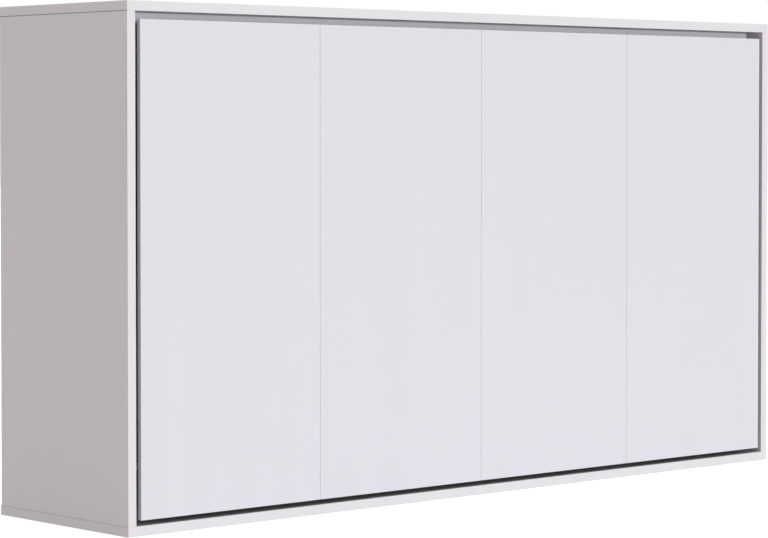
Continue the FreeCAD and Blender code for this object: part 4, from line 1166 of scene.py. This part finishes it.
# %% Screws
def copies(piece, name, places):
    """One piece of many copies of a model, each put in place by its own matrix."""
    made = []
    for number, place in enumerate(places):
        twin = bpy.data.objects.new(f"{name}_{number}", piece.data.copy())
        scene.collection.objects.link(twin)
        twin.data.transform(place)
        made.append(twin)
    bpy.data.objects.remove(piece)
    whole = one_piece(name, *made)
    print(name, len(places), "copies,", len(whole.data.polygons), "faces")
    return whole


def screws_in_place(name, node, axis, way, head, head_radius, shank_radius):
    """Copies of a screw at each solid of a node. way(low) says which way along the axis the head looks."""
    number = "XYZ".index(axis)
    boxes = solids_of(node)
    shank = (boxes[0][1] - boxes[0][0])[number] - head
    places = []
    for low, high in boxes:
        up = way(low)
        seat = (low + high) / 2
        seat[number] = high[number] - head if up > 0 else low[number] + head
        places.append(turned(axis, seat, up))
    whole = copies(make_screw(name, head_radius, head, shank_radius, shank), name, places)
    smooth(whole, angle=30)
    return whole


def to_the_rear(_low):
    return 1


def to_the_middle(low):
    return -1 if low.x > 0 else 1


# Each row: CAD node, body, axis, way of the head, head's height, head's radius, shank's radius.
SCREWS = {
    "sheet_screws": ("back_sheet_screws", "cabinet", "Y", to_the_rear, 0.0008, 0.0032, 0.0015),
    "fitting_screws": ("side_fitting_screws", "cabinet", "X", to_the_middle, 0.0025, 0.0045, 0.0025),
    "panel_screws": ("front_panel_screws", "bed", "Y", to_the_rear, 0.0024, 0.004, 0.002),
}

for name, (node, body, *rest) in SCREWS.items():
    hand_over(screws_in_place(name, node, *rest), body, "zinc_screw", zinc_finish, node)

# %% [markdown]
# The frame's bolts have hexagon heads with a washer face, and flat round nuts inside the rail. The head
# is a six-sided cylinder, chamfered on top, and each bolt is made as long as its solid in the CAD model.

# %% Frame bolts
BOLT_HEAD = 0.005
BOLT_HEAD_RADIUS = 0.0075
BOLT_SHANK_RADIUS = 0.004
WASHER_FACE = 0.0008
NUT = 0.002
NUT_RADIUS = 0.0065
HEAD_CHAMFER = 0.0009
NUT_CHAMFER = 0.0006


def make_bolt(length):
    """A bolt with its head up: the washer face at 0 and the nut at -length."""
    head = new_round("bolt_head", BOLT_HEAD_RADIUS, WASHER_FACE, BOLT_HEAD, sides=6)
    choose_edges(head, lambda a, b: a.z > BOLT_HEAD - NEAR and b.z > BOLT_HEAD - NEAR)
    bpy.ops.mesh.bevel(offset=HEAD_CHAMFER, segments=2, affect="EDGES")
    done()
    washer = new_round("washer_face", NUT_RADIUS, 0, WASHER_FACE)
    shank = new_round("bolt_shank", BOLT_SHANK_RADIUS, -length, 0, sides=16)
    nut = new_round("round_nut", NUT_RADIUS, -length, -length + NUT)
    choose_edges(nut, lambda a, b: a.z < -length + NEAR and b.z < -length + NEAR)
    bpy.ops.mesh.bevel(offset=NUT_CHAMFER, segments=2, affect="EDGES")
    done()
    return one_piece("bolt", head, washer, shank, nut)


bolts = []
for low, high in solids_of("frame_bolts"):
    sign = 1 if low.x > 0 else -1
    seat = (low + high) / 2
    seat.x = high.x - BOLT_HEAD if sign > 0 else low.x + BOLT_HEAD
    bolt = make_bolt(high.x - low.x - BOLT_HEAD)
    bolt.data.transform(turned("X", seat, sign))
    bolts.append(bolt)
print("bolts", len(bolts))
frame_bolts = one_piece("hexagon_bolts", *bolts)
smooth(frame_bolts, angle=30)
hand_over(frame_bolts, "bed", "zinc_screw", zinc_finish, "frame_bolts")

# %% [markdown]
# ## Welds
# The end rails are welded in between the long rails, and the powder coat covers the welds too. A bead is a
# row of flat drops, each laid half over the one before. One drop is a squashed ball, copied along each
# joint on the outer faces of the end rails.

# %% Weld beads
DROP_RADIUS = 0.0024
DROP_RISE = 0.0009
DROP_STEP = 0.0014
BEAD_INSET = 0.006


def new_ball(name, radius, place, rise):
    """A ball at a place, squashed to a lower height along Z."""
    bpy.ops.object.select_all(action="DESELECT")
    bpy.ops.mesh.primitive_uv_sphere_add(segments=16, ring_count=8, radius=radius, location=place)
    ball = bpy.context.object
    ball.scale.z = rise / radius
    return settle(ball, name)


drop_places = []
for side, sign in SIDES.items():
    low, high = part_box(f"end_rail_{side}")
    outer_x = high.x if sign > 0 else low.x
    drops = int((high.y - low.y - 2 * BEAD_INSET) / DROP_STEP) + 1
    for z in (low.z, high.z):
        for number in range(drops):
            y = low.y + BEAD_INSET + number * DROP_STEP
            drop_places.append(turned("X", (outer_x, y, z), sign))
welds = copies(new_ball("drop", DROP_RADIUS, (0, 0, 0), DROP_RISE), "frame_welds", drop_places)
smooth(welds, angle=60)
hand_over(welds, "bed", "dark_steel", steel_finish)

# %% [markdown]
# ## Slat holders
# Each slat's end sits in a soft plastic shoe: a rounded block with a pocket for the slat and two
# stiffening ribs across its rear. The pocket is an inset face, resized to the slat and pushed in, so its
# rim stays one surface with the block. One shoe is modelled and copied to both ends of all slats, turned
# over for the upper row.

# %% Slat holders
SHOE_RIM = 0.002
POCKET_DEPTH = 0.037
POCKET_PLAY = 0.0004
SHOE_CORNER = 0.0022
SHOE_ROUND = 0.0005
SHOE_RIB_SHARES = (0.3, 0.7)
SHOE_RIB_REACH_SHARE = 0.8
SHOE_RIB_HALF_WIDTH, SHOE_RIB_RISE, SHOE_RIB_ROOT = 0.0012, 0.0006, 0.0004

shoe_boxes = solids_of("slat_holders")
shoe_size = shoe_boxes[0][1] - shoe_boxes[0][0]
slat_boxes = solids_of("bed_slats")
slat_size = slat_boxes[0][1] - slat_boxes[0][0]


def make_shoe():
    """A shoe at the origin: its middle in X and Y, its closed end at Z = 0."""
    half_x, half_y = shoe_size.x / 2, shoe_size.y / 2
    shoe = new_block("shoe", (-half_x, -half_y, 0), (half_x, half_y, shoe_size.z))
    choose_faces(shoe, lambda at, normal: normal.z > STRAIGHT)
    bpy.ops.mesh.inset(thickness=SHOE_RIM)
    slat_offset = (sum(slat_boxes[0], Vector()) - sum(shoe_boxes[0], Vector())).y / 2
    wide = (slat_size.x + POCKET_PLAY) / (shoe_size.x - 2 * SHOE_RIM)
    tall = (slat_size.y + POCKET_PLAY) / (shoe_size.y - 2 * SHOE_RIM)
    bpy.ops.transform.resize(value=(wide, tall, 1), center_override=(0, 0, shoe_size.z))
    bpy.ops.transform.translate(value=(0, slat_offset, 0))
    extrude((0, 0, -POCKET_DEPTH))
    done()
    choose_edges(shoe, lambda a, b: abs(a.x) > half_x - NEAR and abs(b.x) > half_x - NEAR)
    bpy.ops.mesh.bevel(offset=SHOE_CORNER, segments=3, affect="EDGES")
    done()
    soften_edges(shoe, SHOE_ROUND, segments=1, angle=50)
    ribs = []
    reach = half_x * SHOE_RIB_REACH_SHARE
    for share in SHOE_RIB_SHARES:
        z = shoe_size.z * share
        rib_low = (-reach, half_y - SHOE_RIB_ROOT, z - SHOE_RIB_HALF_WIDTH)
        rib = new_block("rib", rib_low, (reach, half_y + SHOE_RIB_RISE, z + SHOE_RIB_HALF_WIDTH))
        soften_edges(rib, SHOE_RIB_ROOT)
        ribs.append(rib)
    return one_piece("shoe", shoe, *ribs)


shoe_places = []
middle_z = (shoe_boxes[0][0].z + shoe_boxes[-1][1].z) / 2
for low, high in shoe_boxes:
    at = (low + high) / 2
    if at.z < middle_z:
        shoe_places.append(Matrix.Translation((at.x, at.y, low.z)))
    else:
        shoe_places.append(Matrix.Translation((at.x, at.y, high.z)) @ Matrix.Scale(-1, 4, (0, 0, 1)))
shoes = copies(make_shoe(), "slat_shoes", shoe_places)
choose_all(shoes)
bpy.ops.mesh.normals_make_consistent(inside=False)
done()
smooth(shoes, angle=40)
hand_over(shoes, "bed", "black_plastic", plastic_finish, "slat_holders")

# %% [markdown]
# ## Gas struts
# A strut's tube and rod are turned parts, so each is a profile spun round its axis. The profile is a chain
# of points (radius, height) up the Z axis. A chain that closes on itself makes a ring.

# %% Turning helper
SPIN_STEPS = 32
MERGE_DISTANCE = 0.00002


def lathe(name, profile):
    """Spins a profile of (radius, height) points round Z and closes it."""
    bpy.ops.object.select_all(action="DESELECT")
    bpy.ops.mesh.primitive_plane_add()
    piece = settle(bpy.context.object, name)
    choose_all(piece)
    bpy.ops.mesh.merge(type="CENTER")
    done()
    piece.data.vertices[0].co = (profile[0][0], 0, profile[0][1])
    choose_all(piece)
    for start, end in zip(profile, profile[1:]):
        extrude((end[0] - start[0], 0, end[1] - start[1]))
    bpy.ops.mesh.select_all(action="SELECT")
    bpy.ops.mesh.spin(steps=SPIN_STEPS, angle=2 * math.pi, center=(0, 0, 0), axis=(0, 0, 1))
    bpy.ops.mesh.select_all(action="SELECT")
    bpy.ops.mesh.remove_doubles(threshold=MERGE_DISTANCE)
    bpy.ops.mesh.normals_make_consistent(inside=False)
    done()
    return piece


print("turned parts have", SPIN_STEPS, "sides")

# %% [markdown]
# The tube has a rounded shoulder, a groove where its guide is rolled in, and a folded rim at its mouth. It
# is hollow, with a thick plug at each end, and the rod's piston fits inside it.

# %% Strut profiles
TUBE_RADIUS, TUBE_WALL = 0.011, 0.0015
TUBE_START, TUBE_END = 0.024, 0.234
TUBE_PLUG = 0.006
ROD_RADIUS, ROD_PLAY = 0.005, 0.0001
ROD_INSIDE = 0.032
PISTON, PISTON_PLAY = 0.008, 0.0003
GROOVE = 0.0007
END_GAP = 0.0005
# The shoulder's heights count from the tube's start. The groove and mouth count in from its outer radius and
# back from its end.
SHOULDER = ((0.0072, -END_GAP), (0.0093, 0.0003), (0.0105, 0.0014), (TUBE_RADIUS, 0.0032))
ROLLED_GROOVE = ((0, 0.0105), (GROOVE, 0.0095), (GROOVE, 0.0082), (0, 0.0072))
MOUTH = ((0, 0.0018), (0.0006, 0.0005), (0.0018, 0))

tube_profile = [
    (0, TUBE_START - END_GAP),
    *((radius, TUBE_START + rise) for radius, rise in SHOULDER),
    *((TUBE_RADIUS - inset, TUBE_END - back) for inset, back in ROLLED_GROOVE + MOUTH),
    (ROD_RADIUS + ROD_PLAY, TUBE_END),
    (ROD_RADIUS + ROD_PLAY, TUBE_END - TUBE_PLUG),
    (TUBE_RADIUS - TUBE_WALL, TUBE_END - TUBE_PLUG),
    (TUBE_RADIUS - TUBE_WALL, TUBE_START + TUBE_PLUG),
    (0, TUBE_START + TUBE_PLUG),
]


def rod_profile(length):
    piston_radius = TUBE_RADIUS - TUBE_WALL - PISTON_PLAY
    start = TUBE_END - ROD_INSIDE
    end = length - TUBE_START - END_GAP
    return [
        (0, start),
        (piston_radius, start),
        (piston_radius, start + PISTON),
        (ROD_RADIUS, start + PISTON),
        (ROD_RADIUS, end),
        (0, end),
    ]


print("tube", len(tube_profile), "points")

# %% [markdown]
# At each end a moulded eye turns on a stud. The eye is a ring round the stud with a necked collar that
# screws on to the tube or the rod. The lower stud is fixed to the rod's eye, with a flange towards the
# hinge plate.

# %% Eyes and studs
EYE_RADIUS, EYE_HALF_WIDTH, EYE_BORE = 0.011, 0.006, 0.0051
EYE_CHAMFER = 0.0012
COLLAR_NECK = ((0, 0.008), (0.0072, 0.008), (0.0062, 0.0125))
COLLAR_RIM = ((0.0062, 0.006), (0.0078, 0.005), (0.0078, 0.0008), (0.0070, 0), (0, 0))
STUD_RADIUS, STUD_CHAMFER = 0.005, 0.0008
STUD_FLANGE_RADIUS, STUD_FLANGE, FLANGE_CHAMFER = 0.008, 0.002, 0.0004


def make_eye(name, place, way):
    """An eye round a stud along X, with its collar pointing along a way."""
    half = EYE_HALF_WIDTH
    ring = lathe(
        name,
        [
            (EYE_BORE, -half),
            (EYE_RADIUS - EYE_CHAMFER, -half),
            (EYE_RADIUS, -half + EYE_CHAMFER),
            (EYE_RADIUS, half - EYE_CHAMFER),
            (EYE_RADIUS - EYE_CHAMFER, half),
            (EYE_BORE, half),
            (EYE_BORE, -half),
        ],
    )
    ring.data.transform(turned("X", place))
    rim = [(radius, TUBE_START - back) for radius, back in COLLAR_RIM]
    collar = lathe("collar", [*COLLAR_NECK, *rim])
    collar.data.transform(laid_along(way, place))
    eye = one_piece(name, ring, collar)
    smooth(eye, angle=40)
    return eye


def stud_profile(reach):
    """A stud from inside its eye to the flange, which ends at reach."""
    start = -EYE_HALF_WIDTH
    return [
        (0, start - STUD_CHAMFER),
        (STUD_RADIUS - STUD_CHAMFER, start - STUD_CHAMFER),
        (STUD_RADIUS, start),
        (STUD_RADIUS, reach - STUD_FLANGE),
        (STUD_FLANGE_RADIUS - FLANGE_CHAMFER, reach - STUD_FLANGE),
        (STUD_FLANGE_RADIUS, reach - STUD_FLANGE + FLANGE_CHAMFER),
        (STUD_FLANGE_RADIUS, reach),
        (0, reach),
    ]


print("eyes", round(2 * EYE_RADIUS * MM_PER_METRE, 1), "mm across")

# %% [markdown]
# A strut is laid on the line that the CAD model's joints give: it starts at the stud on the side panel and
# runs against the stroke's axis to the stud on the hinge plate.

# %% Struts
joints = {joint["name"]: joint for joint in frame["joints"]}


def make_strut(side, sign):
    upper = Vector(joints[f"strut_{side}_swing"]["pos_m"])
    way = -Vector(joints[f"strut_{side}_stroke"]["axis"])
    rod_low, rod_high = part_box(f"strut_rod_{side}")
    length = (upper.z - (rod_low.z + EYE_RADIUS)) / -way.z
    lower = upper + way * length
    cylinder, piston = f"strut_cylinder_{side}", f"strut_rod_{side}"

    tube = lathe(f"strut_tube_{side}", tube_profile)
    tube.data.transform(laid_along(way, upper))
    smooth(tube, angle=40)
    hand_over(tube, cylinder, "black_strut", paint_finish, cylinder)

    rod = lathe("rod", rod_profile(length))
    rod.data.transform(laid_along(way, upper))
    inner_face = rod_low.x if sign > 0 else rod_high.x
    stud = lathe("stud", stud_profile(abs(lower.x - inner_face)))
    stud.data.transform(turned("X", lower, -sign))
    rod = one_piece(f"strut_piston_rod_{side}", rod, stud)
    smooth(rod, angle=40)
    hand_over(rod, piston, "strut_rod", chrome_finish, piston)

    upper_eye = make_eye(f"strut_upper_eye_{side}", upper, way)
    hand_over(upper_eye, cylinder, "black_plastic", plastic_finish)
    lower_eye = make_eye(f"strut_lower_eye_{side}", lower, -way)
    hand_over(lower_eye, piston, "black_plastic", plastic_finish)
    print("strut", side, "is", round(length * MM_PER_METRE, 1), "mm from stud to stud")


for side, sign in SIDES.items():
    make_strut(side, sign)

# %% [markdown]
# ## Feet
# A foot is a moulded shoe for the flat leg. It is a rounded block with two grip grooves round it, made by
# two pairs of cuts whose faces are pushed in, and with a slot in its top that fits the steel.

# %% Feet
FOOT_GROOVE_SHARES = ((0.30, 0.36), (0.50, 0.56))
FOOT_GROOVE_DEPTH = 0.0007
FOOT_INSET = 0.0012
FOOT_PLAY = 0.0002
FOOT_ROUND = 0.0012


def make_foot(side):
    low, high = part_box(f"leg_foot_{side}")
    leg_low, leg_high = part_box(f"leg_{side}")
    middle, size, leg_size = (low + high) / 2, high - low, leg_high - leg_low
    foot = new_block(f"moulded_foot_{side}", low, high)
    grooves = [tuple(low.z + size.z * share for share in pair) for pair in FOOT_GROOVE_SHARES]
    for edge in (edge for groove in grooves for edge in groove):
        choose_all(foot)
        bpy.ops.mesh.bisect(plane_co=(0, 0, edge), plane_no=(0, 0, 1))
        done()

    def in_groove(at, normal):
        return abs(normal.z) < 1 - STRAIGHT and any(first < at.z < last for first, last in grooves)

    choose_faces(foot, in_groove)
    bpy.ops.mesh.extrude_region_shrink_fatten(TRANSFORM_OT_shrink_fatten={"value": -FOOT_GROOVE_DEPTH})
    done()
    choose_faces(foot, lambda at, normal: normal.z > STRAIGHT and at.z > high.z - NEAR)
    bpy.ops.mesh.inset(thickness=FOOT_INSET)
    wide = (leg_size.x + FOOT_PLAY) / (size.x - 2 * FOOT_INSET)
    deep = (leg_size.y + FOOT_PLAY) / (size.y - 2 * FOOT_INSET)
    bpy.ops.transform.resize(value=(wide, deep, 1), center_override=(middle.x, middle.y, high.z))
    extrude((0, 0, leg_low.z - high.z - FOOT_PLAY))
    done()
    soften_edges(foot, FOOT_ROUND, segments=3, angle=50)
    smooth(foot, angle=40)
    return hand_over(foot, f"leg_{side}", "black_plastic", plastic_finish, f"leg_foot_{side}")


for side in SIDES:
    print(make_foot(side).name)

# %% [markdown]
# ## Buffers
# Each closing stop carries a rubber buffer, a turned dome that the bed's frame meets first. Its profile
# is given in shares of its radius and height, so that it fills the solid that the CAD model has for it.

# %% Buffers
BUFFER_SHARES = ((0, 0), (1, 0), (1, 0.55), (0.94, 0.8), (0.75, 0.95), (0.4, 1), (0, 1))


def make_buffer(low, high):
    radius, height = (high - low).x / 2, (high - low).y
    buffer = lathe("buffer", [(radius * wide, height * tall) for wide, tall in BUFFER_SHARES])
    middle = (low + high) / 2
    buffer.data.transform(turned("Y", (middle.x, high.y, middle.z), -1))
    return buffer


buffers = one_piece("rubber_buffers", *(make_buffer(*box) for box in solids_of("stop_buffers")))
smooth(buffers, angle=40)
hand_over(buffers, "cabinet", "black_rubber", rubber_finish, "stop_buffers")
print("buffers", len(buffers.data.polygons), "faces")

# %% [markdown]
# ## Strap plates
# A strap plate is a steel strip with round corners. Two flat rivet heads hold it to the rail. A rivet
# head is the same squashed ball as a weld drop, only larger.

# %% Strap plates
PLATE_CORNER = 0.0035
RIVET_RADIUS = 0.0019
RIVET_RISE = 0.0009
RIVET_INSET = 0.0025
PLATE_ROUND = 0.0004


def make_strap_plate(low, high):
    plate = new_block("plate", low, high)
    choose_edges(plate, lambda a, b: abs(a.z - b.z) > (high.z - low.z) / 2)
    bpy.ops.mesh.bevel(offset=PLATE_CORNER, segments=4, affect="EDGES")
    done()
    soften_edges(plate, PLATE_ROUND, angle=50)
    outer_z = low.z if low.z < mattress_middle.z else high.z
    middle_y = (low.y + high.y) / 2
    places = [(x, middle_y, outer_z) for x in (low.x + RIVET_INSET, high.x - RIVET_INSET)]
    return one_piece("plate", plate, *(new_ball("rivet", RIVET_RADIUS, at, RIVET_RISE) for at in places))


plates = one_piece("strap_plates", *(make_strap_plate(*box) for box in solids_of("strap_anchors")))
smooth(plates, angle=40)
hand_over(plates, "bed", "dark_steel", steel_finish, "strap_anchors")
print("strap plates", len(plates.data.polygons), "faces")
